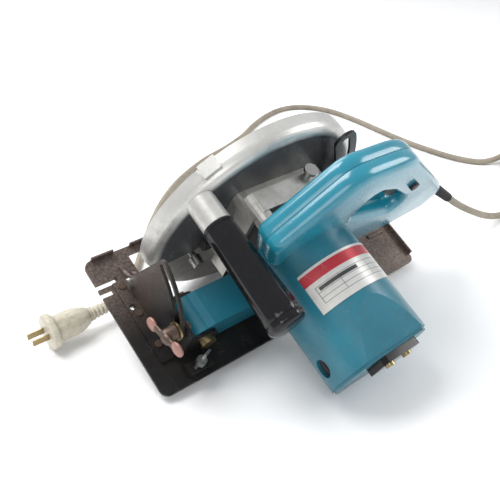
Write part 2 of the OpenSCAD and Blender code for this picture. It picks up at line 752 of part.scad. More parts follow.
// Places a child drawn along the grip's underside: x runs down the grip, y points into it
module on_grip(y0, y1) {
    slab(y0, y1) translate(grip_foot) rotate(grip_slope) children();
}
module grip_box(u0, u1, w0, w1) {
    translate([u0, w0]) square([u1 - u0, w1 - w0]);
}
module handle_shell(side) {
    half = handle_w / 2;
    soft = 5;
    y_of = function (d) handle_y + side * d;
    color(teal) difference() {
        union() {
            difference() {
                union() {
                    slab(min(y_of(0), y_of(half - soft)), max(y_of(0), y_of(half - soft))) handle_outline();
                    slab(min(y_of(half - soft), y_of(half - 2)), max(y_of(half - soft), y_of(half - 2)))
                        offset(delta = -1.5) handle_outline();
                    slab(min(y_of(half - 2), y_of(half)), max(y_of(half - 2), y_of(half)))
                        offset(delta = -4) handle_outline();
                }
                slab(min(y_of(-1), y_of(half - handle_wall)), max(y_of(-1), y_of(half - handle_wall)))
                    offset(delta = -handle_wall - 1.5) handle_outline();
            }
            for (at = handle_screw_at)
                bar_y(at[0], at[1], min(y_of(0), y_of(half - 2)), max(y_of(0), y_of(half - 2)), 5.5);
        }
        handle_core();
        for (at = handle_screw_at) {
            bar_y(at[0], at[1], handle_y - half - 1, handle_y + half - 4, screw_r + fit);
            bar_y(at[0], at[1], handle_y - half - 1, handle_y - half + 4, 4.5);
        }
        on_grip(handle_y - trigger_w / 2 - gap, handle_y + trigger_w / 2 + gap) grip_box(2, 48, -4, 9);
        translate([0, handle_y, 0]) cord_bar(-18, 20, cord_guard_r0 + seat);
        bar_on_grip(button_at, handle_y - half - 1, handle_y - 6, button_r + fit);
        bar_on_grip(trigger_at, handle_y - trigger_pin_l, handle_y + trigger_pin_l, trigger_pin_r + fit);
    }
}
module handle_left() { handle_shell(-1); }
module handle_right() { handle_shell(1); }
// A bar along Y at a place [along, into] the grip
module bar_on_grip(place, y0, y1, r) {
    at = grip_foot + [cos(grip_slope) * place[0] - sin(grip_slope) * place[1],
        sin(grip_slope) * place[0] + cos(grip_slope) * place[1]];
    bar_y(at[0], at[1], y0, y1, r);
}
module handle_screws() {
    color(steel) for (at = handle_screw_at) {
        bar_y(at[0], at[1], handle_y - handle_w / 2 + 1.2, handle_y - handle_w / 2 + 4, 4);
        bar_y(at[0], at[1], handle_y - handle_w / 2 + 3, handle_y + handle_w / 2 - 4.5, screw_r);
    }
}
module switch_body() {
    color(black) difference() {
        on_grip(handle_y - 10, handle_y + 12) grip_box(6, 44, 11.5, 24);
        bar_on_grip(button_at, handle_y - 20, handle_y - 5, button_r + 1);
    }
}
module trigger() {
    color(black) difference() {
        on_grip(handle_y - trigger_w / 2, handle_y + trigger_w / 2) polygon(rounded([[4, -2, 1], [14, -9, 3],
            [36, -9, 8], [44, -1, 2], [43, 4, 1], [13, 7.5, 2], [4, 7.5, 1]]));
        bar_on_grip(trigger_at, handle_y - trigger_w, handle_y + trigger_w, trigger_pin_r + fit);
    }
}
module trigger_pin() {
    color(steel) bar_on_grip(trigger_at, handle_y - trigger_pin_l, handle_y + trigger_pin_l, trigger_pin_r);
}
module lock_button() {
    color(black) bar_on_grip(button_at, handle_y - handle_w / 2 - button_travel - 0.5, handle_y - handle_w / 2 + 2.5, button_r);
}
module shaft_lock() {
    y = gear_y + gear_w / 2;
    color(steel) {
        bar_z(arbor_x + lock_off, y, lock_tip, housing_top + lock_travel + 1.5, lock_r);
        bar_z(arbor_x + lock_off, y, housing_top + lock_travel + 1, housing_top + lock_travel + 4, 7);
    }
}
// A tapered bar along the cord's way out of the handle
module cord_bar(from, to, r, r_end = 0) {
    translate(cord_from) rotate([0, 0, -cord_turn]) rotate([0, 90 + cord_slope, 0]) translate([0, 0, from])
        cylinder(h = to - from, r1 = r, r2 = r_end > 0 ? r_end : r);
}
module cord_guard() {
    color(black) translate([0, handle_y, 0]) {
        cord_bar(-16, 0.5, cord_guard_r0);
        cord_bar(0, cord_guard_l, cord_guard_r0, cord_guard_r1);
    }
}

// ---- Spindle, blade and lower guard ----

module spindle() {
    y1 = blade_y - blade_t / 2;
    color(steel) {
        bar_y(arbor_x, arbor_z, housing_y + 2.5, gear_y - 1, spindle_tail_r);
        bar_y(arbor_x, arbor_z, gear_y - 1, y1, spindle_r);
        bar_y(arbor_x, arbor_z, y1 - 0.5, y1 + blade_t + 1.5, 6);
    }
}
module drive_gear() {
    color(steel) difference() {
        slab(gear_y, gear_y + gear_w) translate([arbor_x, arbor_z]) rotate(motor_angle)
            polygon(gear_outline(gear_teeth));
        bar_y(arbor_x, arbor_z, gear_y - 1, gear_y + gear_w + 1, spindle_r);
    }
}
module inner_flange() {
    y1 = blade_y - blade_t / 2;
    y0 = guard_y + guard_t + 1.2;
    color(steel) difference() {
        union() {
            bar_y(arbor_x, arbor_z, y0, y1, flange_r);
            bar_y(arbor_x, arbor_z, y0, y1 + blade_t - 0.2, blade_bore / 2 - 0.02);
        }
        bar_y(arbor_x, arbor_z, y0 - 1, y1 + 5, spindle_r);
    }
}
module blade() {
    pitch = 360 / blade_teeth;
    color(steel) difference() {
        slab(blade_y - blade_t / 2, blade_y + blade_t / 2) translate([arbor_x, arbor_z])
            polygon([for (i = [0:blade_teeth - 1]) each [
                blade_r * [cos(pitch * i), sin(pitch * i)],
                (blade_r - 1.2) * [cos(pitch * (i + 0.3)), sin(pitch * (i + 0.3))],
                (blade_r - gullet * 0.7) * [cos(pitch * (i + 0.62)), sin(pitch * (i + 0.62))],
                (blade_r - gullet) * [cos(pitch * (i + 0.85)), sin(pitch * (i + 0.85))]]]);
        bar_y(arbor_x, arbor_z, blade_y - 5, blade_y + 5, blade_bore / 2);
    }
}
module outer_flange() {
    y0 = blade_y + blade_t / 2;
    color(steel) difference() {
        bar_y(arbor_x, arbor_z, y0, y0 + 3.5, flange_r);
        bar_y(arbor_x, arbor_z, y0 - 1, y0 + 1.8, 8);
        bar_y(arbor_x, arbor_z, y0 - 1, y0 + 4, 4.1);
    }
}
module blade_bolt() {
    y0 = blade_y + blade_t / 2 + 3.5;
    color(steel) {
        slab(y0 + 1, y0 + 6) translate([arbor_x, arbor_z]) circle(r = 7.5, $fn = 6);
        bar_y(arbor_x, arbor_z, y0, y0 + 1.2, 9);
        bar_y(arbor_x, arbor_z, y0 - 1.9, y0 + 1, 4);
    }
}
// Wedge from angle a0 to a1 round the arbor, in the side view
module wedge(y0, y1, a0, a1) {
    slab(y0, y1) translate([arbor_x, arbor_z]) polygon(concat([[0, 0]], arc(0, 0, 220, a0, a1, 12)));
}
guard_front = 196;
guard_rear = 368;
module lower_guard() {
    color(steel) difference() {
        intersection() {
            turned(arbor_x, arbor_z, concat([[collar_r + fit, guard_y]],
                arc(guard_r - guard_fillet, guard_arc_y, guard_fillet, -90, 0, 6),
                [[guard_r, guard_y1], [flange_r + 6, guard_y1], [flange_r + 6, guard_y1 - guard_t],
                 [guard_in_r, guard_y1 - guard_t]],
                arc(guard_r - guard_fillet, guard_arc_y, guard_fillet - guard_t, 0, -90, 6),
                [[collar_r + fit, guard_y + guard_t]]));
            union() {
                wedge(guard_y - 1, guard_y1 + 1, guard_front, guard_rear);
                bar_y(arbor_x, arbor_z, guard_y - 1, guard_y + guard_t + 0.1, collar_r + 9);
            }
        }
        // scallop that clears the work at the front edge
        translate([arbor_x, 0, arbor_z]) rotate([0, 180 - guard_front, 0])
            bar_y(-72, 12, guard_y1 - 8, guard_y1 + 2, 22);
    }
}
lever_r = 78;
lever_angle = 204;
module guard_lever() {
    x = arbor_x + lever_r * cos(lever_angle);
    z = arbor_z + lever_r * sin(lever_angle);
    color(steel) {
        bar_y(x, z, case_y - 14, guard_y, 3.5);
        bar_y(x, z, case_y - 14, case_y - 3, 6.5);
    }
}

// ---- Depth and bevel ----

module ear(y0) {
    difference() {
        union() {
            bar_y(pivot_x, pivot_z, y0, y0 + bracket_t, 13);
            block(bracket_x, pivot_x, y0, y0 + bracket_t, pivot_z - 13, pivot_z + 13);
        }
        bar_y(pivot_x, pivot_z, y0 - 1, y0 + bracket_t + 1, pivot_r);
    }
}
module front_bracket() {
    y0 = arm_y - gap - bracket_t;
    y1 = arm_y + arm_w + gap + bracket_t;
    color(worn) difference() {
        union() {
            front_slab(bracket_x, bracket_x + bracket_wall) polygon([[y0, pivot_z - 13], [y1, pivot_z - 13],
                [bevel_y, bevel_z - lug_r], [bevel_y, bevel_z + lug_r], [y1, pivot_z + 6],
                [wing_y + 12, wing_z + 10], [y0, wing_z + 10]]);
            bar_x(bevel_y, bevel_z, bracket_x, bracket_x + bracket_wall, lug_r);
            ear(y0);
            ear(y1 - bracket_t);
        }
        bar_x(bevel_y, bevel_z, bracket_x - 1, bracket_x + bracket_wall + 1, hinge_r + fit);
        bar_x(wing_y, wing_z, bracket_x - 1, bracket_x + bracket_wall + 1, wing_r + fit);
    }
}
module pivot_bolt() {
    y0 = arm_y - gap - bracket_t;
    y1 = arm_y + arm_w + gap + bracket_t;
    color(yellow) {
        bar_y(pivot_x, pivot_z, y0 - 1, y1 + 3, pivot_r);
        bar_y(pivot_x, pivot_z, y0 - 5, y0, 8);
        slab(y1, y1 + 4) translate([pivot_x, pivot_z]) circle(r = 8, $fn = 6);
    }
}
module depth_guide() {
    r0 = guide_r - guide_w / 2;
    r1 = guide_r + guide_w / 2;
    slot = clamp_r + 0.5;
    foot = -4;
    color(worn) {
        difference() {
            slab(guide_y, guide_y + guide_t) translate([pivot_x, pivot_z]) polygon(concat(
                arc(0, 0, r1, foot, guide_end, 24),
                arc(guide_r * cos(guide_end), guide_r * sin(guide_end), guide_w / 2, guide_end, guide_end + 180, 8),
                arc(0, 0, r0, guide_end, foot, 24)));
            slab(guide_y - 1, guide_y + guide_t + 1) translate([pivot_x, pivot_z]) polygon(concat(
                arc(0, 0, guide_r + slot, guide_start, guide_end, 24),
                arc(guide_r * cos(guide_end), guide_r * sin(guide_end), slot, guide_end, guide_end + 180, 8),
                arc(0, 0, guide_r - slot, guide_end, guide_start, 24),
                arc(guide_r * cos(guide_start), guide_r * sin(guide_start), slot, guide_start + 180,
                    guide_start + 360, 8)));
        }
        // foot that reaches back to the rear hinge
        block(clamp_x + 2, lug_x + lug_t, guide_y, guide_y + guide_t, bevel_z - 6, bevel_z + 8);
        difference() {
            union() {
                block(lug_x, lug_x + lug_t, guide_y, bevel_y, bevel_z - 6, bevel_z + 8);
                bar_x(bevel_y, bevel_z, lug_x, lug_x + lug_t, lug_r);
            }
            bar_x(bevel_y, bevel_z, lug_x - 1, lug_x + lug_t + 1, hinge_r + fit);
        }
    }
}
module depth_lever() {
    y1 = guide_y - gap;
    low = [46, 8, 4];
    high = [46, 16, 4];
    color(steel) difference() {
        slab(y1 - 6, y1) translate([clamp_x, clamp_z]) polygon(concat(arc(0, 0, 8, 55, 320, 12),
            corner([6, -5, 0], low, high), corner(low, high, [5, 7, 0])));
        bar_y(clamp_x, clamp_z, y1 - 9, y1 + 1, clamp_r + fit);
    }
}
module bevel_wing_bolt() {
    x1 = quadrant_x - washer_t - gap;
    color(pink) {
        bar_x(wing_y, wing_z, x1 - 4, bracket_x + bracket_wall + 6, wing_r);
        bar_x(wing_y, wing_z, x1 - 12, x1, 7);
        translate([0, wing_y, wing_z]) rotate([-25, 0, 0]) for (side = [-1, 1]) {
            bar_x(side * 19, 0, x1 - 14, x1 - 9, 7);
            block(x1 - 13, x1 - 10, min(0, side * 19), max(0, side * 19), -4, 4);
        }
    }
}
module bevel_washer() {
    color(yellow) difference() {
        bar_x(wing_y, wing_z, quadrant_x - washer_t - gap / 2, quadrant_x - gap / 2, 9);
        bar_x(wing_y, wing_z, quadrant_x - 5, quadrant_x + 5, wing_r + fit);
    }
}

// ---- Base ----

module opening_outline() {
    polygon(rounded([[opening_x, opening_y, 3], [inner_x1, opening_y, 3], [inner_x1, inner_y, 3],
        [opening_x1, inner_y, 3], [opening_x1, opening_y1, 3], [opening_x, opening_y1, 3]]));
}
notch_w = 5;
notch_square = blade_y;
notch_bevel = bevel_y + (blade_y - bevel_y) / cos(bevel_max) - (bevel_z + base_t) * tan(bevel_max);
fence_x = 43;
fence_y = 11;
fence_slot_w = 17;
fence_slot_h = 4;
module base_plate() {
    color(worn) difference() {
        union() {
            translate([0, 0, -base_t]) linear_extrude(base_t)
                polygon(rounded_box(0, base_l, 0, base_w, base_r));
            // turned-up rims: along the blade side with a gap near the front, and along the rear
            block(base_r, 33, base_w - rim_t, base_w, -1, rim_h);
            block(52, base_l - base_r, base_w - rim_t, base_w, -1, rim_h);
            block(base_l - rim_t, base_l, base_r, base_w - base_r, -1, rim_h);
            block(base_r, base_l - base_r, 0, rim_t, -1, 2);
            // pressed stiffening rib at the rear
            translate([316, 50, -1]) rotate([0, 90, 0]) cylinder(h = 24, r = 3);
            // saddle of the guide fence
            block(fence_x - 13, fence_x + 13, fence_y - 6, fence_y + 6, -1, fence_slot_h + 6);
        }
        translate([0, 0, -base_t - 1]) linear_extrude(base_t + 30) opening_outline();
        block(-1, 21, notch_square - notch_w / 2, notch_square + notch_w / 2, -9, 9);
        block(-1, 12, notch_bevel - notch_w / 2, notch_bevel + notch_w / 2, -9, 9);
        bar_z(20, 92, -base_t - 1, 5, shoe_hole_r);
        block(fence_x - fence_slot_w / 2, fence_x + fence_slot_w / 2, -10, fence_y + 10, 0.2, fence_slot_h);
        bar_z(fence_x, fence_y, fence_slot_h - 1, 30, 3 + fit);
        block(-10, base_l + 10, -10, base_w + 10, -base_t - 10, -base_t);
    }
}
module bevel_quadrant() {
    x0 = quadrant_x;
    outer = bevel_slot_r + quadrant_edge;
    a1 = 180 - bevel_start - bevel_max;
    a0 = 180 - bevel_start;
    slot = wing_r + 0.5;
    top = [bevel_slot_r * cos(a1), bevel_slot_r * sin(a1)];
    low = [bevel_slot_r * cos(a0), bevel_slot_r * sin(a0)];
    color(worn) {
        difference() {
            front_slab(x0, x0 + quadrant_t) translate([bevel_y, bevel_z]) difference() {
                polygon(concat([[22, -bevel_z], [22, -4]], arc(24, 22, 26, 265, 190, 6),
                    arc(top[0], top[1], quadrant_edge, a1 - 90, a1, 6), arc(0, 0, outer, a1, a0, 12),
                    arc(low[0], low[1], quadrant_edge, a0, a0 + 90, 6), [[-bevel_y + 30, -bevel_z]]));
                polygon(concat(arc(0, 0, bevel_slot_r + slot, a1, a0, 12),
                    arc(low[0], low[1], slot, a0, a0 + 180, 6),
                    arc(0, 0, bevel_slot_r - slot, a0, a1, 12),
                    arc(top[0], top[1], slot, a1 - 180, a1, 6)));
            }
            bar_x(bevel_y, bevel_z, x0 - 1, x0 + quadrant_t + 1, hinge_r);
        }
        // foot on the plate
        difference() {
            block(x0 - 13, x0 + 1, 30, bevel_y + 22, 0, 2.5);
            for (y = [48, 84, 116]) bar_z(x0 - 6, y, -1, 4, 2);
            block(-5, 22, notch_square - notch_w / 2, notch_square + notch_w / 2, -1, 4);
            bar_z(20, 92, -1, 5, shoe_hole_r + 1);
        }
    }
}
hinge_x = lug_x + lug_t + gap;
module rear_hinge() {
    color(worn) difference() {
        union() {
            block(hinge_x, hinge_x + 3, bevel_y - 16, bevel_y + 16, 0, bevel_z);
            bar_x(bevel_y, bevel_z, hinge_x, hinge_x + 3, lug_r);
            block(hinge_x, hinge_x + 18, bevel_y - 16, bevel_y + 16, 0, 2.5);
        }
        bar_x(bevel_y, bevel_z, hinge_x - 1, hinge_x + 4, hinge_r);
        for (y = [-8, 8]) bar_z(hinge_x + 11, bevel_y + y, -1, 4, 2);
    }
}
module hinge_pins() {
    color(steel) {
        bar_x(bevel_y, bevel_z, quadrant_x - 2, bracket_x + bracket_wall + 2, hinge_r);
        bar_x(bevel_y, bevel_z, quadrant_x - 4, quadrant_x, 5);
        bar_x(bevel_y, bevel_z, lug_x - 2, hinge_x + 4, hinge_r);
        bar_x(bevel_y, bevel_z, hinge_x + 3, hinge_x + 5, 5);
    }
}
module rivets() {
    color(steel) {
        for (y = [48, 84, 116]) bar_z(quadrant_x - 6, y, 0, 3.7, 2);
        for (y = [48, 84, 116]) bar_z(quadrant_x - 6, y, 2.5, 4, 3.6);
        for (y = [-8, 8]) bar_z(hinge_x + 11, bevel_y + y, 0, 3.7, 2);
        for (y = [-8, 8]) bar_z(hinge_x + 11, bevel_y + y, 2.5, 4, 3.6);
    }
}
module fence_screw() {
    z0 = fence_slot_h + 6;
    color(steel) {
        bar_z(fence_x, fence_y, fence_slot_h - 0.5, z0 + 6, 3);
        bar_z(fence_x, fence_y, z0 + 2, z0 + 9, 5);
        for (side = [-1, 1]) translate([fence_x, fence_y, z0 + 8]) rotate([0, 0, 20])
            block(side > 0 ? 3 : -10, side > 0 ? 10 : -3, -1.2, 1.2, -3, 7);
    }
}

// ---- Cord and plug, in the leaned frame ----

module cord_out() {
    color(cord_grey) tube(route(out_points, 2), cord_r);
}
module cord_coil() {
    color(cord_grey) translate([coil_at[0], coil_at[1], 0]) rotate_extrude()
        translate([coil_hole_r, 0]) square([coil_r - coil_hole_r, coil_h]);
}
module cord_back() {
    color(cord_grey) tube(route(back_points, 2), cord_r);
}
// A bar along the plug's axis, x0 and x1 ahead of its middle, towards the cord
module plug_bar(x0, x1, r0, r1) {
    translate([plug_at[0], plug_at[1], plug_z]) translate([x1, 0, 0]) rotate([0, -90, 0])
        cylinder(h = x1 - x0, r1 = r1, r2 = r0);
}
module plug_guard() {
    color(cord_grey) plug_bar(20, 52, 8, 6);
}
module plug_body() {
    color(ivory) {
        plug_bar(-26, -4, plug_r - 1, plug_r - 1);
        plug_bar(-4, 20, plug_r - 1, 11);
    }
}
module plug_pins() {
    color(yellow) for (side = [-1, 1]) translate([plug_at[0] - 43, plug_at[1] + side * 6.35 - 0.75, plug_z - 3.2])
        cube([17, 1.5, 6.4]);
}

laid() blade_case();
laid() gear_housing();
laid() baffle_plate();
laid() motor_housing();
laid() rear_cover();
laid() cover_screws();
laid() housing_screws();
laid() nameplate();
laid() field_stator();
laid() field_coils();
laid() brush_holders();
laid() carbon_brushes();
laid() brush_caps();
laid() handle_left();
laid() handle_right();
laid() handle_screws();
laid() trigger_pin();
laid() switch_body();
laid() cord_guard();
laid() side_grip();
laid() grip_bolt();
laid() spindle_bearing();
laid() spindle_bush();
laid() armature_bearings();
laid() bearing_retainer();
laid() guard_stop();
laid() depth_clamp_bolt();
laid() armature_shaft();
laid() armature_core();
laid() commutator();
laid() cooling_fan();
laid() spindle();
laid() drive_gear();
laid() inner_flange();
laid() blade();
laid() outer_flange();
laid() blade_bolt();
laid() lower_guard();
laid() guard_lever();
laid() trigger();
laid() lock_button();
laid() shaft_lock();
laid() depth_lever();
laid() front_bracket();
laid() pivot_bolt();
laid() depth_guide();
laid() bevel_wing_bolt();
laid() bevel_washer();
laid() base_plate();
laid() bevel_quadrant();
laid() rear_hinge();
laid() hinge_pins();
laid() rivets();
laid() fence_screw();
cord_out();
cord_coil();
cord_back();
plug_guard();
plug_body();
plug_pins();
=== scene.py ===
import json
import math
import bmesh
import bpy
import numpy as np
from mathutils import Matrix, Vector


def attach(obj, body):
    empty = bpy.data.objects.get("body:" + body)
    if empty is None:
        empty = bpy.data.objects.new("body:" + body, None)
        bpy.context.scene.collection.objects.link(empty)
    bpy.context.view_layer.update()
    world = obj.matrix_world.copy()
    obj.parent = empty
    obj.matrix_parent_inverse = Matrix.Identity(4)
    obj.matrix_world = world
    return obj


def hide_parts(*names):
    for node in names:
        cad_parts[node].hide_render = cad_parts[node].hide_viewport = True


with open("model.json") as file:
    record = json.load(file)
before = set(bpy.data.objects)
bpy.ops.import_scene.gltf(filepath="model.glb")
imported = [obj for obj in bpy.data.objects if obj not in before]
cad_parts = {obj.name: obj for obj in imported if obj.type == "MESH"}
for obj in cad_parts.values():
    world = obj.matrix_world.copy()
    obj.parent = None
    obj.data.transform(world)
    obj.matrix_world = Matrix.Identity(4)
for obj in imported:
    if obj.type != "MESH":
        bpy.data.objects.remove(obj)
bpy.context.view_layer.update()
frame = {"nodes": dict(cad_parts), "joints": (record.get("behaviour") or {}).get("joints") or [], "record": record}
nodes = frame["nodes"]
joints = {j["name"]: j for j in frame["joints"]}

# The saw is modelled upright and lies leaned over. saw() takes points in millimetres in the
# upright saw's frame (+X to the rear, +Y to the blade side, +Z up from the base) to the row frame.
arborMark = np.array([174.0, 110.0, 40.0])
arborPlace = np.array(joints["blade_spin"]["pos_m"])
leanAngle = math.atan2(joints["blade_spin"]["axis"][2], joints["blade_spin"]["axis"][1])
leanTurn = np.array(Matrix.Rotation(leanAngle, 3, "X"))


def saw(points):
    return (np.asarray(points, float) - arborMark) / 1000 @ leanTurn.T + arborPlace


def metres(points):
    return np.asarray(points, float) / 1000


# Camera

sight = {"place": (-0.3896, -0.3907, 0.4310), "target": (-0.0674, 0.0028, 0.1127), "roll": 0.73, "lens": 47.0}


def makeCamera():
    data = bpy.data.cameras.new("camera")
    data.lens = sight["lens"]
    data.sensor_width = 36
    cam = bpy.data.objects.new("camera", data)
    bpy.context.scene.collection.objects.link(cam)
    look = Vector(sight["target"]) - Vector(sight["place"])
    turn = look.to_track_quat("-Z", "Y").to_matrix() @ Matrix.Rotation(math.radians(-sight["roll"]), 3, "Z")
    cam.matrix_world = Matrix.Translation(sight["place"]) @ turn.to_4x4()
    bpy.context.scene.camera = cam


makeCamera()
print("camera ready")

# Shapes worked out on grids


def newPiece(name, points, faces, smooth=True):
    mesh = bpy.data.meshes.new(name)
    mesh.from_pydata(points.tolist(), [], faces.tolist() if isinstance(faces, np.ndarray) else faces)
    mesh.polygons.foreach_set("use_smooth", [smooth] * len(mesh.polygons))
    mesh.update()
    piece = bpy.data.objects.new(name, mesh)
    bpy.context.scene.collection.objects.link(piece)
    return piece


# quads between neighbouring points of a grid of rows by columns; closed joins the last column to the first
def gridFaces(rows, columns, closed=True):
    i, j = np.meshgrid(np.arange(rows - 1), np.arange(columns if closed else columns - 1), indexing="ij")
    k = (j + 1) % columns
    return np.stack([i * columns + j, i * columns + k, (i + 1) * columns + k, (i + 1) * columns + j], -1).reshape(-1, 4)


# the same quads, with one face over each end
def cappedFaces(rows, columns):
    last = (rows - 1) * columns
    return gridFaces(rows, columns).tolist() + [list(range(columns)), list(range(last, last + columns))]


# a profile of (distance along, radius) carried round an axis: point = origin + along * axis + radius * (cos, sin)
def revolve(name, origin, axis, profile, around=48, flute=0.0, flutes=0):
    axis = np.asarray(axis, float) / np.linalg.norm(axis)
    side = np.cross(axis, [0.0, 0.0, 1.0] if abs(axis[2]) < 0.9 else [1.0, 0.0, 0.0])
    side /= np.linalg.norm(side)
    up = np.cross(axis, side)
    profile = np.asarray(profile, float)
    turn = np.linspace(0, 2 * np.pi, around, endpoint=False)
    ring = np.cos(turn)[:, None] * side + np.sin(turn)[:, None] * up
    wave = 1 - flute * (0.5 + 0.5 * np.cos(flutes * turn)) if flutes else np.ones(around)
    points = (np.asarray(origin) + profile[:, 0, None, None] * axis
              + profile[:, 1, None, None] * (wave[:, None] * ring)[None])
    piece = newPiece(name, points.reshape(-1, 3), cappedFaces(len(profile), around))
    fixNormals(piece)
    return piece


def fixNormals(piece):
    work = bmesh.new()
    work.from_mesh(piece.data)
    bmesh.ops.recalc_face_normals(work, faces=work.faces)
    work.to_mesh(piece.data)
    work.free()


def sharpen(piece, angle=40):
    piece.data.set_sharp_from_angle(angle=math.radians(angle))


def addModifier(piece, kind, **values):
    modifier = piece.modifiers.new(kind.lower(), kind)
    for key, value in values.items():
        setattr(modifier, key, value)
    return modifier


def ride(piece, body, slot, *replaced):
    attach(piece, body)
    if replaced:
        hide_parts(*replaced)
    return piece


# Cords

cordSize = {"diameter": 0.0085, "coilPlace": (530, 28), "coilLow": 4.4, "coilHigh": 13.1,
            "coilOut": 47.0, "coilIn": 38.2, "leave": 56.5, "turns": 3.5}
outPoints = [[220.5, -11.5, 75.4], [247, -11, 56], [279, -12, 36], [313, -14, 18], [345, -16, 7.5],
             [380, -18.5, 4.25], [415, -20, 4.25], [450, -20.5, 4.25], [485, -20, 4.25]]
backPoints = [[512, 85.5, 11], [495, 91, 7], [480, 102, 4.25], [469, 119, 4.25], [462, 140, 4.25],
              [458, 168, 4.25], [456, 208, 4.25], [457, 245, 4.25], [462, 296, 4.25], [467, 346, 4.25],
              [468, 398, 4.25], [459, 439, 4.25], [437, 469, 4.25], [405, 481, 4.25], [363, 474, 4.25],
              [317, 455, 4.25], [267, 427, 4.25], [215, 406, 4.25], [162, 391, 4.25], [116, 371, 4.25],
              [72, 346, 4.25], [29, 313, 4.25], [-11, 275, 4.25], [-48, 235, 4.25], [-81, 198, 4.25],
              [-108, 168, 4.25], [-130, 145, 9], [-149, 133.3, 17.6]]


# a turn's angle runs from the bottom of the coil; radius and height change where another turn leaves room
def coilPoints():
    turn = np.arange(0, cordSize["turns"] * 360 + 1, 20.0)
    radius = np.interp(turn, [0, 270, 360, 810, 900, 1170, 1260],
                       [cordSize["coilOut"]] * 2 + [cordSize["coilIn"]] * 2 + [cordSize["coilOut"]] * 2
                       + [cordSize["leave"]])
    height = np.interp(turn, [0, 540, 630, 1260],
                       [cordSize["coilLow"]] * 2 + [cordSize["coilHigh"]] * 2)
    angle = np.radians(turn - 90)
    x = cordSize["coilPlace"][0] + radius * np.cos(angle)
    y = cordSize["coilPlace"][1] + radius * np.sin(angle)
    return np.stack([x, y, height], -1).tolist()


# a smooth line through points, several steps to each, so that its length is the cord's length
def smoothLine(points, steps):
    p = np.asarray(points, float)
    p = np.vstack([2 * p[0] - p[1], p, 2 * p[-1] - p[-2]])
    t = np.linspace(0, 1, steps, endpoint=False)[None, :, None]
    a, b, c, d = (p[i:len(p) - 3 + i][:, None] for i in range(4))
    line = 0.5 * (2 * b + (c - a) * t + (2 * a - 5 * b + 4 * c - d) * t ** 2 + (3 * b - a - 3 * c + d) * t ** 3)
    return np.vstack([line.reshape(-1, 3), p[-2]])


# a round tube: each ring stands square to the line, its side vector level with the floor
def tubeAlong(name, line, radius, around=14):
    way = np.gradient(line, axis=0)
    way /= np.linalg.norm(way, axis=1)[:, None]
    side = np.cross(way, [0.0, 0.0, 1.0])
    side /= np.linalg.norm(side, axis=1)[:, None]
    up = np.cross(side, way)
    turn = np.linspace(0, 2 * np.pi, around, endpoint=False)[None, :, None]
    points = line[:, None] + radius * (np.cos(turn) * side[:, None] + np.sin(turn) * up[:, None])
    piece = newPiece(name, points.reshape(-1, 3), cappedFaces(len(line), around))
    fixNormals(piece)
    return piece


def makeCord():
    line = metres(smoothLine(outPoints + coilPoints() + backPoints, 4))
    cord = tubeAlong("cord", line, cordSize["diameter"] / 2)
    length = float(np.linalg.norm(np.diff(line, axis=0), axis=1).sum())
    print(f"cord length {length:.3f} m")
    ride(cord, "saw_body", "cord", "cord_out", "cord_coil", "cord_back")
    return cord, line, length


cord, cordLine, cordLength = makeCord()

# Strain reliefs and plug

relief = {"start": (352.0, 50.0, 90.0), "slope": 32, "turn": 18, "length": 62, "root": 6.5, "tip": 5.3,
          "ribs": 11, "ribDepth": 1.1, "inside": -14}
plug = {"place": (-0.2, 0.129, 0.020), "radius": 19.2, "grooves": 14, "grooveDepth": 0.02,
        "along": [-26, -25.6, -24.5, -19.5, -18.2, -17.6, -16.4, -12, -5, 1, 6, 11, 15.5, 18.5, 20],
        "below": [2.2, 0.7, 0, 0, 0.8, 3.2, 4.6, 5, 5, 4.6, 5.2, 6.6, 8.4, 9.8, 11],
        "tail": {"start": 20, "length": 32, "root": 7.8, "tip": 5.6, "ribs": 7, "depth": 1.3}}


# ribs are a rounded square wave along a cone
def ribbedProfile(start, length, root, tip, ribs, depth):
    t = np.linspace(0, 1, ribs * 10 + 1)
    wave = np.clip(1.6 * np.cos(2 * np.pi * ribs * t), -1, 1)
    radius = root + (tip - root) * t - depth * (0.5 - 0.5 * wave) * (t > 0.06) * (t < 0.97)
    return np.stack([start + length * t, radius], -1)


def makeReliefs():
    slope, turn = math.radians(relief["slope"]), math.radians(relief["turn"])
    way = np.array([math.cos(slope) * math.cos(turn), -math.cos(slope) * math.sin(turn), -math.sin(slope)])
    profile = ribbedProfile(0, relief["length"], relief["root"], relief["tip"], relief["ribs"], relief["ribDepth"])
    profile = np.vstack([[[relief["inside"], relief["root"] - 0.2]], profile])
    guard = revolve("cordRelief", saw(relief["start"]), leanTurn @ way, profile / 1000, 32)
    ride(guard, "saw_body", "rubber", "cord_guard")
    tail = revolve("plugRelief", plug["place"], (1, 0, 0), ribbedProfile(**plug["tail"]) / 1000, 32)
    ride(tail, "saw_body", "cord", "plug_guard")
    return guard, tail


# the plug's body: a wide front disc, a narrower barrel and a soft shoulder towards the cord
def makePlug():
    profile = np.stack([plug["along"], plug["radius"] - np.array(plug["below"])], -1)
    body = revolve("plugBody", plug["place"], (1, 0, 0), profile / 1000, 64, plug["grooveDepth"], plug["grooves"])
    addModifier(body, "SUBSURF", levels=1, render_levels=1)
    return ride(body, "saw_body", "ivory", "plug_body")


cordRelief, plugRelief = makeReliefs()
plugBody = makePlug()
print("cords ready")

# Stage


stage = {"half": 4.0, "floorColour": (0.93, 0.93, 0.93, 1), "floorRoughness": 0.75,
         "worldColour": (0.95, 0.97, 1.0, 1), "worldStrength": 0.55}


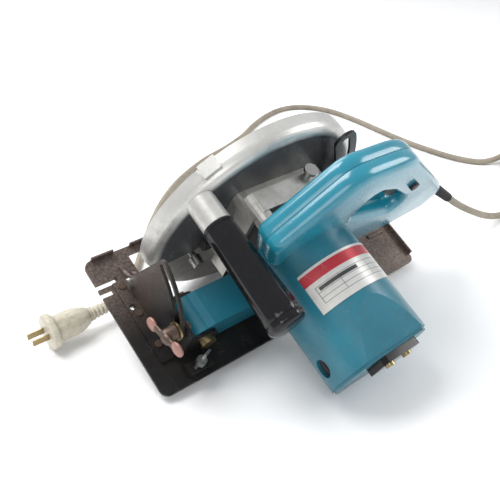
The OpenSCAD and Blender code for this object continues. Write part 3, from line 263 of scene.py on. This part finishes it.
def makeStage():
    corners = stage["half"] * np.array([[-1, -1, 0], [1, -1, 0], [1, 1, 0], [-1, 1, 0]])
    floor = newPiece("floor", corners, np.array([[0, 1, 2, 3]]), False)
    paint = bpy.data.materials.new("floorPaper")
    paint.use_nodes = True
    shader = paint.node_tree.nodes["Principled BSDF"]
    shader.inputs["Base Color"].default_value = stage["floorColour"]
    shader.inputs["Roughness"].default_value = stage["floorRoughness"]
    floor.data.materials.append(paint)
    world = bpy.data.worlds.new("studio")
    world.use_nodes = True
    sky = world.node_tree.nodes["Background"]
    sky.inputs["Color"].default_value = stage["worldColour"]
    sky.inputs["Strength"].default_value = stage["worldStrength"]
    bpy.context.scene.world = world
    bpy.context.scene.view_settings.view_transform = "Standard"


def addLamp(name, place, target, size, power):
    data = bpy.data.lights.new(name, "AREA")
    data.size = size
    data.energy = power
    lamp = bpy.data.objects.new(name, data)
    bpy.context.scene.collection.objects.link(lamp)
    lamp.location = place
    lamp.rotation_euler = (Vector(target) - Vector(place)).to_track_quat("-Z", "Y").to_euler()


makeStage()
addLamp("keyLamp", (-0.5, 0.6, 1.5), (0, 0, 0.1), 0.9, 20)
addLamp("sideLamp", (1.3, -0.7, 0.9), (0, 0, 0.1), 0.8, 11)
addLamp("frontLamp", (-1.1, -1.0, 0.7), (0, 0, 0.1), 0.8, 6)

addLamp("backLamp", (0.4, 2.2, 1.6), (0.1, 1.2, 0), 1.6, 26)

# Shader groups


def newGroup(name, inputs, outputs):
    group = bpy.data.node_groups.new(name, "ShaderNodeTree")
    for label, kind, value in inputs:
        socket = group.interface.new_socket(name=label, in_out="INPUT", socket_type=kind)
        if value is not None:
            socket.default_value = value
    for label, kind in outputs:
        group.interface.new_socket(name=label, in_out="OUTPUT", socket_type=kind)
    return group, group.nodes.new("NodeGroupInput"), group.nodes.new("NodeGroupOutput")


def addNode(tree, kind, links=None, **values):
    node = tree.nodes.new(kind)
    for key, value in values.items():
        if hasattr(node, key) and key not in node.inputs:
            setattr(node, key, value)
        else:
            node.inputs[key].default_value = value
    for key, source in (links or {}).items():
        tree.links.new(source, node.inputs[key])
    return node


def mathNode(tree, operation, first, second):
    node = tree.nodes.new("ShaderNodeMath")
    node.operation = operation
    for slot, value in enumerate((first, second)):
        if isinstance(value, (int, float)):
            node.inputs[slot].default_value = value
        else:
            tree.links.new(value, node.inputs[slot])
    return node.outputs[0]


# a value stretched from low..high to 0..1
def rangeNode(tree, value, low, high):
    node = tree.nodes.new("ShaderNodeMapRange")
    tree.links.new(value, node.inputs["Value"])
    node.inputs["From Min"].default_value = low
    node.inputs["From Max"].default_value = high
    return node.outputs["Result"]


# grime: cloudy patches broken up by finer ones
def grimeGroup():
    group, start, end = newGroup("grime", [("Vector", "NodeSocketVector", None), ("Scale", "NodeSocketFloat", 20.0),
                                           ("Amount", "NodeSocketFloat", 0.5)], [("Mask", "NodeSocketFloat")])
    coarse = addNode(group, "ShaderNodeTexNoise", {"Vector": start.outputs["Vector"], "Scale": start.outputs["Scale"]},
                     Detail=5.0, Roughness=0.6)
    fineScale = mathNode(group, "MULTIPLY", start.outputs["Scale"], 6.0)
    fine = addNode(group, "ShaderNodeTexNoise", {"Vector": start.outputs["Vector"], "Scale": fineScale},
                   Detail=4.0, Roughness=0.7)
    both = mathNode(group, "MULTIPLY", rangeNode(group, coarse.outputs["Fac"], 0.38, 0.66),
                    rangeNode(group, fine.outputs["Fac"], 0.25, 0.65))
    group.links.new(mathNode(group, "MULTIPLY", both, start.outputs["Amount"]), end.inputs["Mask"])
    return group


# scratches: noise stretched along two directions, cut to thin lines, shown only in patches
def scratchGroup():
    group, start, end = newGroup("scratches", [("Vector", "NodeSocketVector", None),
                                               ("Scale", "NodeSocketFloat", 60.0),
                                               ("Amount", "NodeSocketFloat", 0.5)], [("Mask", "NodeSocketFloat")])
    lines = []
    for turn in ((0.4, 0.3, 0.6), (-0.5, 0.8, -0.9)):
        place = addNode(group, "ShaderNodeMapping", {"Vector": start.outputs["Vector"]}, Rotation=turn,
                        Scale=(1.0, 0.025, 1.0))
        noise = addNode(group, "ShaderNodeTexNoise", {"Vector": place.outputs["Vector"],
                                                      "Scale": start.outputs["Scale"]}, Detail=1.0, Roughness=0.4)
        gap = mathNode(group, "ABSOLUTE", mathNode(group, "SUBTRACT", noise.outputs["Fac"], 0.5), 0)
        lines.append(mathNode(group, "LESS_THAN", gap, 0.004))
    patch = addNode(group, "ShaderNodeTexNoise", {"Vector": start.outputs["Vector"]}, Scale=70.0, Detail=3.0)
    patches = rangeNode(group, patch.outputs["Fac"], 0.50, 0.64)
    both = mathNode(group, "MULTIPLY", mathNode(group, "MAXIMUM", *lines), patches)
    group.links.new(mathNode(group, "MULTIPLY", both, start.outputs["Amount"]), end.inputs["Mask"])
    return group


# grain: a fine bump, with a slower waviness under it
def grainGroup():
    group, start, end = newGroup("grain", [("Vector", "NodeSocketVector", None), ("Scale", "NodeSocketFloat", 900.0),
                                           ("Strength", "NodeSocketFloat", 0.2)], [("Normal", "NodeSocketVector")])
    fine = addNode(group, "ShaderNodeTexNoise", {"Vector": start.outputs["Vector"], "Scale": start.outputs["Scale"]},
                   Detail=3.0, Roughness=0.55)
    slowScale = mathNode(group, "MULTIPLY", start.outputs["Scale"], 0.06)
    slow = addNode(group, "ShaderNodeTexNoise", {"Vector": start.outputs["Vector"], "Scale": slowScale}, Detail=2.0)
    height = mathNode(group, "ADD", fine.outputs["Fac"], mathNode(group, "MULTIPLY", slow.outputs["Fac"], 1.4))
    bump = addNode(group, "ShaderNodeBump", {"Height": height, "Strength": start.outputs["Strength"]}, Distance=0.0006)
    group.links.new(bump.outputs["Normal"], end.inputs["Normal"])
    return group


grime, scratches, grain = grimeGroup(), scratchGroup(), grainGroup()


def mixColour(tree, factor, first, second):
    node = tree.nodes.new("ShaderNodeMix")
    node.data_type = "RGBA"
    for slot, value in ((0, factor), (6, first), (7, second)):
        if hasattr(value, "is_output"):
            tree.links.new(value, node.inputs[slot])
        else:
            node.inputs[slot].default_value = (*value, 1) if slot else value
    return node.outputs[2]


def addGroup(tree, group, vector, **values):
    node = tree.nodes.new("ShaderNodeGroup")
    node.node_tree = group
    tree.links.new(vector, node.inputs["Vector"])
    for key, value in values.items():
        node.inputs[key].default_value = value
    return node.outputs[0]


# every finish is a base colour, dirt in patches, scratches that show another colour, and a grain
plainFinish = {"dirt": (0.05, 0.045, 0.04), "dirtAmount": 0.35, "dirtScale": 25.0, "scratch": (0.6, 0.6, 0.6),
               "scratchAmount": 0.3, "scratchScale": 60.0, "grainScale": 900.0, "grainStrength": 0.15,
               "metallic": 0.0, "roughness": 0.4, "roughEnd": 0.6, "coat": 0.0, "coatRoughness": 0.1,
               "specular": 0.5}


def makeFinish(name, colour, pattern=None, **values):
    use = dict(plainFinish, **values)
    finish = bpy.data.materials.new(name)
    finish.use_nodes = True
    tree = finish.node_tree
    shader = tree.nodes["Principled BSDF"]
    place = tree.nodes.new("ShaderNodeTexCoord").outputs["Object"]
    base = pattern(tree, place) if pattern else None
    dirt = addGroup(tree, grime, place, Scale=use["dirtScale"], Amount=use["dirtAmount"])
    marks = addGroup(tree, scratches, place, Scale=use["scratchScale"], Amount=use["scratchAmount"])
    shown = mixColour(tree, dirt, base if base is not None else colour, use["dirt"])
    shown = mixColour(tree, marks, shown, use["scratch"])
    tree.links.new(shown, shader.inputs["Base Color"])
    rough = tree.nodes.new("ShaderNodeMapRange")
    tree.links.new(mathNode(tree, "MAXIMUM", dirt, marks), rough.inputs["Value"])
    rough.inputs["To Min"].default_value = use["roughness"]
    rough.inputs["To Max"].default_value = use["roughEnd"]
    tree.links.new(rough.outputs["Result"], shader.inputs["Roughness"])
    shader.inputs["Metallic"].default_value = use["metallic"]
    shader.inputs["Specular IOR Level"].default_value = use["specular"]
    shader.inputs["Coat Weight"].default_value = use["coat"]
    shader.inputs["Coat Roughness"].default_value = use["coatRoughness"]
    tree.links.new(addGroup(tree, grain, place, Scale=use["grainScale"], Strength=use["grainStrength"]),
                   shader.inputs["Normal"])
    return finish


# Object coordinates turned upright and centred on the arbor: metres to the rear, to the blade side and up
def uprightCoordinates(tree, place):
    offset = -(arborPlace @ leanTurn)
    node = addNode(tree, "ShaderNodeMapping", {"Vector": place}, Location=tuple(offset), Rotation=(-leanAngle, 0, 0))
    parts = tree.nodes.new("ShaderNodeSeparateXYZ")
    tree.links.new(node.outputs["Vector"], parts.inputs[0])
    return parts.outputs


# 1 between low and high along a value, softened by edge
def band(tree, value, low, high, edge=0.0002):
    rise = rangeNode(tree, value, low - edge, low + edge)
    fall = rangeNode(tree, value, high + edge, high - edge)
    return mathNode(tree, "MULTIPLY", rise, fall)


# face is the case's dark paint with painted shade in it; the second colour is painted shade for the rear of the face
caseFinish = {"face": (0.115, 0.12, 0.13), "rearShade": (0.035, 0.037, 0.042), "rim": (0.66, 0.65, 0.62), "faceRadius": (0.1165, 0.1205)}


# the blade case: a dark face on the motor side, partly its own dark paint and partly painted shade, with more painted
# shade towards the rear, and bare metal round the rim
def casePattern(tree, place):
    x, y, z = uprightCoordinates(tree, place)
    radius = mathNode(tree, "SQRT", mathNode(tree, "ADD", mathNode(tree, "MULTIPLY", x, x),
                                             mathNode(tree, "MULTIPLY", z, z)), 0)
    wobble = addNode(tree, "ShaderNodeTexNoise", {"Vector": place}, Scale=60.0, Detail=4.0)
    uneven = mathNode(tree, "ADD", radius, mathNode(tree, "MULTIPLY", wobble.outputs["Fac"], 0.003))
    bare = rangeNode(tree, uneven, *caseFinish["faceRadius"])
    boss = rangeNode(tree, y, 0.0035, 0.0015)
    # painted shade: the face colour darkens along the case towards the rear
    face = mixColour(tree, rangeNode(tree, x, -0.07, 0.07), caseFinish["face"], caseFinish["rearShade"])
    return mixColour(tree, mathNode(tree, "MAXIMUM", bare, boss), face, caseFinish["rim"])


plateFinish = {"metal": (0.66, 0.65, 0.62), "bandColour": (0.50, 0.03, 0.05), "ink": (0.05, 0.05, 0.055),
               "bandSpan": (-0.1085, -0.0985), "rules": (-0.1135, -0.1190, -0.1240, -0.1290)}


# the nameplate carries no letters: a coloured band, a dark bar, and ruled cells
def platePattern(tree, place):
    x, y, z = uprightCoordinates(tree, place)
    shown = mixColour(tree, band(tree, y, *plateFinish["bandSpan"]), plateFinish["metal"], plateFinish["bandColour"])
    inside = band(tree, x, -0.050, 0.020)
    for mark in plateFinish["rules"]:
        line = mathNode(tree, "MULTIPLY", band(tree, y, mark - 0.0002, mark + 0.0002), inside)
        shown = mixColour(tree, line, shown, plateFinish["ink"])
    for start in (-0.050, -0.030, 0.002, 0.020):
        line = mathNode(tree, "MULTIPLY", band(tree, x, start - 0.0002, start + 0.0002),
                        band(tree, y, plateFinish["rules"][-1], plateFinish["rules"][0]))
        shown = mixColour(tree, line, shown, plateFinish["ink"])
    bar = mathNode(tree, "MULTIPLY", band(tree, x, -0.048, -0.010), band(tree, y, -0.1180, -0.1145))
    return mixColour(tree, bar, shown, plateFinish["ink"])


# worn sheet steel: black where the finish is left, on the motor side, and brown where it has gone
def sheetPattern(tree, place):
    x, y, z = uprightCoordinates(tree, place)
    cloud = addNode(tree, "ShaderNodeTexNoise", {"Vector": place}, Scale=18.0, Detail=8.0, Roughness=0.7)
    speck = addNode(tree, "ShaderNodeTexNoise", {"Vector": place}, Scale=420.0, Detail=3.0)
    worn = mathNode(tree, "MAXIMUM", rangeNode(tree, y, -0.050, 0.012), rangeNode(tree, x, 0.040, 0.110))
    uneven = mathNode(tree, "MULTIPLY", worn, mathNode(tree, "ADD", cloud.outputs["Fac"], 0.45))
    brown = mixColour(tree, rangeNode(tree, speck.outputs["Fac"], 0.35, 0.68), (0.085, 0.062, 0.052),
                      (0.200, 0.148, 0.122))
    return mixColour(tree, uneven, (0.012, 0.011, 0.011), brown)


def castPattern(tree, place):
    cloud = addNode(tree, "ShaderNodeTexNoise", {"Vector": place}, Scale=45.0, Detail=6.0, Roughness=0.6)
    return mixColour(tree, rangeNode(tree, cloud.outputs["Fac"], 0.35, 0.65), (0.48, 0.47, 0.44), (0.68, 0.67, 0.63))


def tealPattern(tree, place):
    cloud = addNode(tree, "ShaderNodeTexNoise", {"Vector": place}, Scale=14.0, Detail=5.0)
    return mixColour(tree, rangeNode(tree, cloud.outputs["Fac"], 0.35, 0.68), (0.010, 0.125, 0.180),
                     (0.015, 0.180, 0.248))


def handlePattern(tree, place):
    cloud = addNode(tree, "ShaderNodeTexNoise", {"Vector": place}, Scale=18.0, Detail=4.0)
    return mixColour(tree, rangeNode(tree, cloud.outputs["Fac"], 0.35, 0.68), (0.010, 0.190, 0.275),
                     (0.015, 0.255, 0.350))


# the depth guide keeps most of its black finish
def guidePattern(tree, place):
    cloud = addNode(tree, "ShaderNodeTexNoise", {"Vector": place}, Scale=40.0, Detail=6.0, Roughness=0.6)
    return mixColour(tree, rangeNode(tree, cloud.outputs["Fac"], 0.50, 0.75), (0.012, 0.012, 0.013),
                     (0.11, 0.09, 0.075))


finishes = {
    "teal": makeFinish("tealEnamel", (0.015, 0.16, 0.22), tealPattern, dirt=(0.02, 0.045, 0.055), dirtAmount=0.35,
                       scratch=(0.25, 0.42, 0.46), scratchAmount=0.12, roughness=0.34, roughEnd=0.62,
                       grainScale=700.0, grainStrength=0.12, coat=0.25, coatRoughness=0.25),
    "teal_plastic": makeFinish("tealMoulding", (0.02, 0.22, 0.30), handlePattern, dirt=(0.02, 0.07, 0.09),
                               dirtAmount=0.25, scratch=(0.3, 0.5, 0.55), scratchAmount=0.12, roughness=0.24,
                               roughEnd=0.5, grainScale=500.0, grainStrength=0.05, coat=0.6, coatRoughness=0.12),
    "cast": makeFinish("castAluminium", (0.6, 0.6, 0.57), castPattern, metallic=0.85, roughness=0.36, roughEnd=0.7,
                       dirt=(0.12, 0.10, 0.08), dirtAmount=0.55, scratch=(0.8, 0.8, 0.78), grainScale=650.0,
                       grainStrength=0.35),
    "case": makeFinish("bladeCase", (0.6, 0.6, 0.6), casePattern, metallic=0.55, roughness=0.33, roughEnd=0.6,
                       dirt=(0.10, 0.09, 0.08), dirtAmount=0.35, scratch=(0.55, 0.55, 0.54), scratchAmount=0.45,
                       grainScale=800.0, grainStrength=0.12),
    "black_plastic": makeFinish("blackMoulding", (0.006, 0.006, 0.007), dirt=(0.03, 0.028, 0.025), dirtAmount=0.15,
                                scratch=(0.03, 0.03, 0.032), scratchAmount=0.2, roughness=0.13, roughEnd=0.22,
                                grainStrength=0.02, coat=0.1, coatRoughness=0.05, specular=0.3),
    "matte_black": makeFinish("matteBlack", (0.018, 0.018, 0.02), dirt=(0.08, 0.07, 0.06), roughness=0.55,
                              roughEnd=0.8, scratch=(0.12, 0.12, 0.12), grainStrength=0.3),
    "rubber": makeFinish("softRubber", (0.013, 0.013, 0.013), dirt=(0.07, 0.065, 0.06), roughness=0.6, roughEnd=0.85,
                         scratch=(0.06, 0.06, 0.06), grainStrength=0.25, grainScale=1200.0),
    "steel": makeFinish("groundSteel", (0.50, 0.50, 0.49), metallic=1.0, roughness=0.28, roughEnd=0.55,
                        dirt=(0.14, 0.10, 0.07), dirtAmount=0.4, scratch=(0.8, 0.8, 0.8), grainStrength=0.08),
    "guard_steel": makeFinish("guardSteel", (0.50, 0.49, 0.47), metallic=1.0, roughness=0.3, roughEnd=0.6,
                              dirt=(0.16, 0.13, 0.10), dirtAmount=0.5, scratch=(0.85, 0.85, 0.84),
                              scratchAmount=0.7, grainStrength=0.1),
    "worn_steel": makeFinish("wornSheet", (0.1, 0.08, 0.07), sheetPattern, metallic=0.35, roughness=0.40,
                             roughEnd=0.7, dirt=(0.03, 0.025, 0.02), dirtAmount=0.5, scratch=(0.42, 0.38, 0.34),
                             scratchAmount=0.15, scratchScale=80.0, grainScale=700.0, grainStrength=0.3),
    "wing_brown": makeFinish("wingBrown", (0.13, 0.09, 0.07), metallic=0.6, roughness=0.38, roughEnd=0.6,
                             dirt=(0.04, 0.03, 0.025), dirtAmount=0.6, scratch=(0.4, 0.33, 0.28), scratchAmount=0.2),
    "guide_black": makeFinish("guideBlack", (0.02, 0.02, 0.02), guidePattern, metallic=0.3, roughness=0.35,
                              roughEnd=0.6, dirt=(0.06, 0.05, 0.04), dirtAmount=0.3, scratch=(0.35, 0.33, 0.3),
                              scratchAmount=0.3, grainStrength=0.15),
    "zinc": makeFinish("yellowZinc", (0.42, 0.33, 0.17), metallic=1.0, roughness=0.3, roughEnd=0.6,
                       dirt=(0.10, 0.07, 0.03), dirtAmount=0.55, scratch=(0.75, 0.72, 0.65), grainStrength=0.1),
    "pink_metal": makeFinish("copperLacquer", (0.38, 0.20, 0.165), metallic=0.35, roughness=0.42, roughEnd=0.6,
                             dirt=(0.12, 0.07, 0.05), dirtAmount=0.5, scratch=(0.6, 0.45, 0.38), scratchAmount=0.2,
                             coat=0.15),
    "label": makeFinish("nameplate", (0.7, 0.7, 0.68), platePattern, metallic=0.35, roughness=0.3, roughEnd=0.55,
                        dirt=(0.2, 0.17, 0.13), dirtAmount=0.3, scratch=(0.85, 0.84, 0.8), scratchAmount=0.12,
                        grainStrength=0.04),
    "cord": makeFinish("cordRubber", (0.30, 0.26, 0.20), roughness=0.5, roughEnd=0.75, dirt=(0.12, 0.10, 0.075),
                       dirtAmount=0.6, scratch=(0.42, 0.38, 0.32), grainStrength=0.2, grainScale=1400.0),
    "ivory": makeFinish("ivoryMoulding", (0.62, 0.58, 0.47), roughness=0.34, roughEnd=0.6, dirt=(0.28, 0.22, 0.13),
                        dirtAmount=0.6, dirtScale=60.0, scratch=(0.8, 0.77, 0.66), grainStrength=0.06, coat=0.2),
    "brass": makeFinish("plainBrass", (0.36, 0.28, 0.15), metallic=1.0, roughness=0.3, roughEnd=0.5,
                        dirt=(0.15, 0.09, 0.03), grainStrength=0.06),
    "iron": makeFinish("laminations", (0.09, 0.09, 0.095), metallic=0.7, roughness=0.5, roughEnd=0.7),
    "copper": makeFinish("windingCopper", (0.50, 0.22, 0.10), metallic=0.8, roughness=0.35, roughEnd=0.5),
    "carbon": makeFinish("brushCarbon", (0.02, 0.02, 0.02), roughness=0.6, roughEnd=0.7)}
print("finishes ready")


def dress(piece, finish):
    piece.data.materials.clear()
    piece.data.materials.append(finishes[finish])


ownFinish = {"blade_case": "case", "depth_guide": "guide_black", "rivets": "wing_brown", "guard_stop": "matte_black"}
slotOf = {s["node"]: s["material_slot"] for s in frame["record"]["subparts"]}
for name, node in nodes.items():
    dress(node, ownFinish.get(name, slotOf[name]))
for piece, finish in ((cord, "cord"), (cordRelief, "rubber"), (plugRelief, "ivory"), (plugBody, "ivory")):
    dress(piece, finish)

# Handle: rings stepped in from each outline, bulging out as a quarter ellipse, and a flat side between

handle = {"middle": 50.0, "half": 16.0, "round": 8.5, "steps": 7,
          "outer": [(112, 96, 4), (205, 60, 10), (296, 60, 14), (344, 66, 13), (365.5, 92, 16), (238, 196, 60),
                    (164, 200, 34), (99.5, 131, 13)],
          "hole": [(190, 130, 7), (318, 88, 10), (240, 146, 16), (206, 160, 13)]}


# straight runs and corner arcs, spread evenly along the outline, as many points as asked for
def roundedOutline(corners, count):
    p = np.array([c[:2] for c in corners], float)
    r = np.array([c[2] for c in corners], float)
    toLast, toNext = np.roll(p, 1, 0) - p, np.roll(p, -1, 0) - p
    toLast /= np.linalg.norm(toLast, axis=1)[:, None]
    toNext /= np.linalg.norm(toNext, axis=1)[:, None]
    half = np.arccos(np.clip((toLast * toNext).sum(1), -1, 1)) / 2
    middle = p + (toLast + toNext) / np.linalg.norm(toLast + toNext, axis=1)[:, None] * (r / np.sin(half))[:, None]
    start = p + toLast * (r / np.tan(half))[:, None] - middle
    end = p + toNext * (r / np.tan(half))[:, None] - middle
    a0 = np.arctan2(start[:, 1], start[:, 0])
    sweep = (np.arctan2(end[:, 1], end[:, 0]) - a0 + np.pi) % (2 * np.pi) - np.pi
    t = np.linspace(0, 1, 12)
    angle = a0[:, None] + sweep[:, None] * t
    line = (middle[:, None] + r[:, None, None] * np.stack([np.cos(angle), np.sin(angle)], -1)).reshape(-1, 2)
    closed = np.vstack([line, line[:1]])
    along = np.concatenate([[0], np.cumsum(np.linalg.norm(np.diff(closed, axis=0), axis=1))])
    at = np.linspace(0, along[-1], count, endpoint=False)
    return np.stack([np.interp(at, along, closed[:, 0]), np.interp(at, along, closed[:, 1])], -1)


def inward(line):
    way = np.roll(line, -1, 0) - np.roll(line, 1, 0)
    way /= np.linalg.norm(way, axis=1)[:, None]
    area = np.sum(line[:, 0] * np.roll(line[:, 1], -1) - line[:, 1] * np.roll(line[:, 0], -1))
    return np.stack([-way[:, 1], way[:, 0]], -1) * np.sign(area)


def makeHandle():
    size, half = handle["round"], handle["half"]
    depths = np.linspace(0, np.pi / 2, handle["steps"])
    pieces = []
    for side, name in ((-1, "handleLeft"), (1, "handleRight")):
        work = bmesh.new()
        rims = []
        for corners, sign, count in ((handle["outer"], 1, 200), (handle["hole"], -1, 110)):
            line = roundedOutline(corners, count)
            step = inward(line) * sign
            inset = size * (1 - np.cos(depths))
            out = (half - size) + size * np.sin(depths)
            rows = [(0.35, 0.12), (0.0, 0.5)] + list(zip(inset, out))
            rings = []
            for move, y in rows:
                flat = line + step * move
                depth = np.full(count, handle["middle"] + side * y)
                place = saw(np.stack([flat[:, 0], depth, flat[:, 1]], -1))
                rings.append([work.verts.new(v) for v in place])
            for low, high in zip(rings, rings[1:]):
                for i in range(count):
                    work.faces.new((low[i], low[(i + 1) % count], high[(i + 1) % count], high[i]))
            rims.append(rings[-1])
            rims.append(rings[0])
        for pair in ((0, 2), (1, 3)):
            edges = []
            for k in pair:
                ring = rims[k]
                edges += [work.edges.get((ring[i], ring[(i + 1) % len(ring)])) or
                          work.edges.new((ring[i], ring[(i + 1) % len(ring)])) for i in range(len(ring))]
            bmesh.ops.triangle_fill(work, edges=edges, use_beauty=True)
        bmesh.ops.recalc_face_normals(work, faces=work.faces)
        mesh = bpy.data.meshes.new(name)
        work.to_mesh(mesh)
        work.free()
        mesh.polygons.foreach_set("use_smooth", [True] * len(mesh.polygons))
        piece = bpy.data.objects.new(name, mesh)
        bpy.context.scene.collection.objects.link(piece)
        sharpen(piece, 50)
        dress(piece, "teal_plastic")
        ride(piece, "saw_body", "teal_plastic", "handle_left" if side < 0 else "handle_right")
        pieces.append(piece)
    return pieces


makeHandle()
print("handle ready")

# Side grip: a slim barrel with shallow flutes and a turned collar at its free end

grip = {"axis": (81.0, 111.0), "inner": 87.3, "length": 110.0, "root": 15.0, "tip": 18.4, "flutes": 12,
        "fluteDepth": 0.018, "head": [(0, 12.5), (0.4, 14.2), (1.2, 15), (3.2, 15), (3.6, 14.4)],
        "collar": [(99, 17.2), (99.8, 16.9), (100.6, 18.2), (102, 18.45), (104.5, 18.45), (107, 17.6),
                   (109, 15.2), (109.8, 12), (110, 6), (110, 1)]}


def makeGrip():
    t = np.linspace(0, 1, 40)
    radius = grip["root"] + (grip["tip"] - grip["root"]) * t ** 1.2
    barrel = np.stack([4 + (grip["length"] - 16) * t, radius - 0.3], -1)
    profile = np.vstack([grip["head"], barrel[:-1], grip["collar"]])
    start = saw((grip["axis"][0], grip["inner"], grip["axis"][1]))
    piece = revolve("sideGrip", start, leanTurn @ np.array([0, -1, 0]), profile / 1000, 96,
                    grip["fluteDepth"], grip["flutes"])
    dress(piece, "black_plastic")
    sharpen(piece, 35)
    return ride(piece, "saw_body", "black_plastic", "side_grip")


makeGrip()
print("grip ready")

# Wing bolt: a worn bar and hub on a round stem, with a lacquered round lobe at each end

wing = {"pivot": (112.0, 12.0), "reach": 78.0, "start": 22, "middle": 14.2, "tilt": -25,
        "lobe": (7.6, 7.2, 3.3), "lobeAt": 19.6, "rings": 60, "around": 28, "poles": 22,
        "along": [0, 0.5, 3, 10, 14, 17, 20, 24, 30, 37, 39.5, 40],
        "width": [0.2, 2.6, 4.2, 4.0, 5.4, 5.8, 5.4, 4.0, 4.2, 4.4, 2.6, 0.2],
        "thick": [0.1, 1.6, 2.5, 2.9, 4.2, 4.6, 4.2, 2.9, 2.5, 2.5, 1.6, 0.1],
        "hub": [(11.4, 0.5), (11.5, 4.0), (12.5, 5.6), (15, 6.4), (20, 6.6), (23.6, 7.2), (25.2, 7.2), (25.3, 4.1),
                (40, 4.0), (40.3, 3.4), (40.4, 0.5)]}


# rings are ellipses: width across the bar and thickness along the stem, both read off along its length;
# the lobes are ellipsoids, flattened along the stem
def makeWing():
    start = math.radians(wing["start"])
    y = wing["pivot"][0] - wing["reach"] * math.cos(start)
    z = wing["pivot"][1] + wing["reach"] * math.sin(start)
    tilt = math.radians(wing["tilt"])
    out, across = np.array([0, math.cos(tilt), math.sin(tilt)]), np.array([0, -math.sin(tilt), math.cos(tilt)])
    steps = np.linspace(0, wing["along"][-1], wing["rings"])
    width = np.interp(steps, wing["along"], wing["width"])[:, None, None]
    thick = np.interp(steps, wing["along"], wing["thick"])[:, None, None]
    around, rings, poles = wing["around"], wing["rings"], wing["poles"]
    turn = np.linspace(0, 2 * np.pi, around, endpoint=False)[None, :, None]
    points = (np.array([wing["middle"], y, z]) + (steps[:, None, None] - steps[-1] / 2) * out
              + width * np.cos(turn) * across + thick * np.sin(turn) * np.array([1.0, 0, 0]))
    bar = newPiece("wingBar", saw(points.reshape(-1, 3)), cappedFaces(rings, around))
    fixNormals(bar)
    hub = revolve("wingHub", saw((0, y, z)), (1, 0, 0), np.array(wing["hub"]) / 1000, 40)
    sharpen(hub, 50)
    pole = np.linspace(0.02, np.pi - 0.02, poles)[:, None, None]
    lobes = []
    for end in (-1, 1):
        centre = np.array([wing["middle"], y, z]) + end * wing["lobeAt"] * out
        shape = (centre + wing["lobe"][0] * np.cos(pole) * out + wing["lobe"][1] * np.sin(pole) * np.cos(turn) * across
                 + wing["lobe"][2] * np.sin(pole) ** 0.7 * np.sin(turn) * np.array([1.0, 0, 0]))
        lobes.append(newPiece(f"wingLobe{end + 2}", saw(shape.reshape(-1, 3)), cappedFaces(poles, around)))
        fixNormals(lobes[-1])
    for piece in [bar, hub] + lobes:
        dress(piece, "wing_brown" if piece in (bar, hub) else "pink_metal")
        ride(piece, "bevel_bolt", "pink_metal", "bevel_wing_bolt")


makeWing()
print("wing bolt ready")
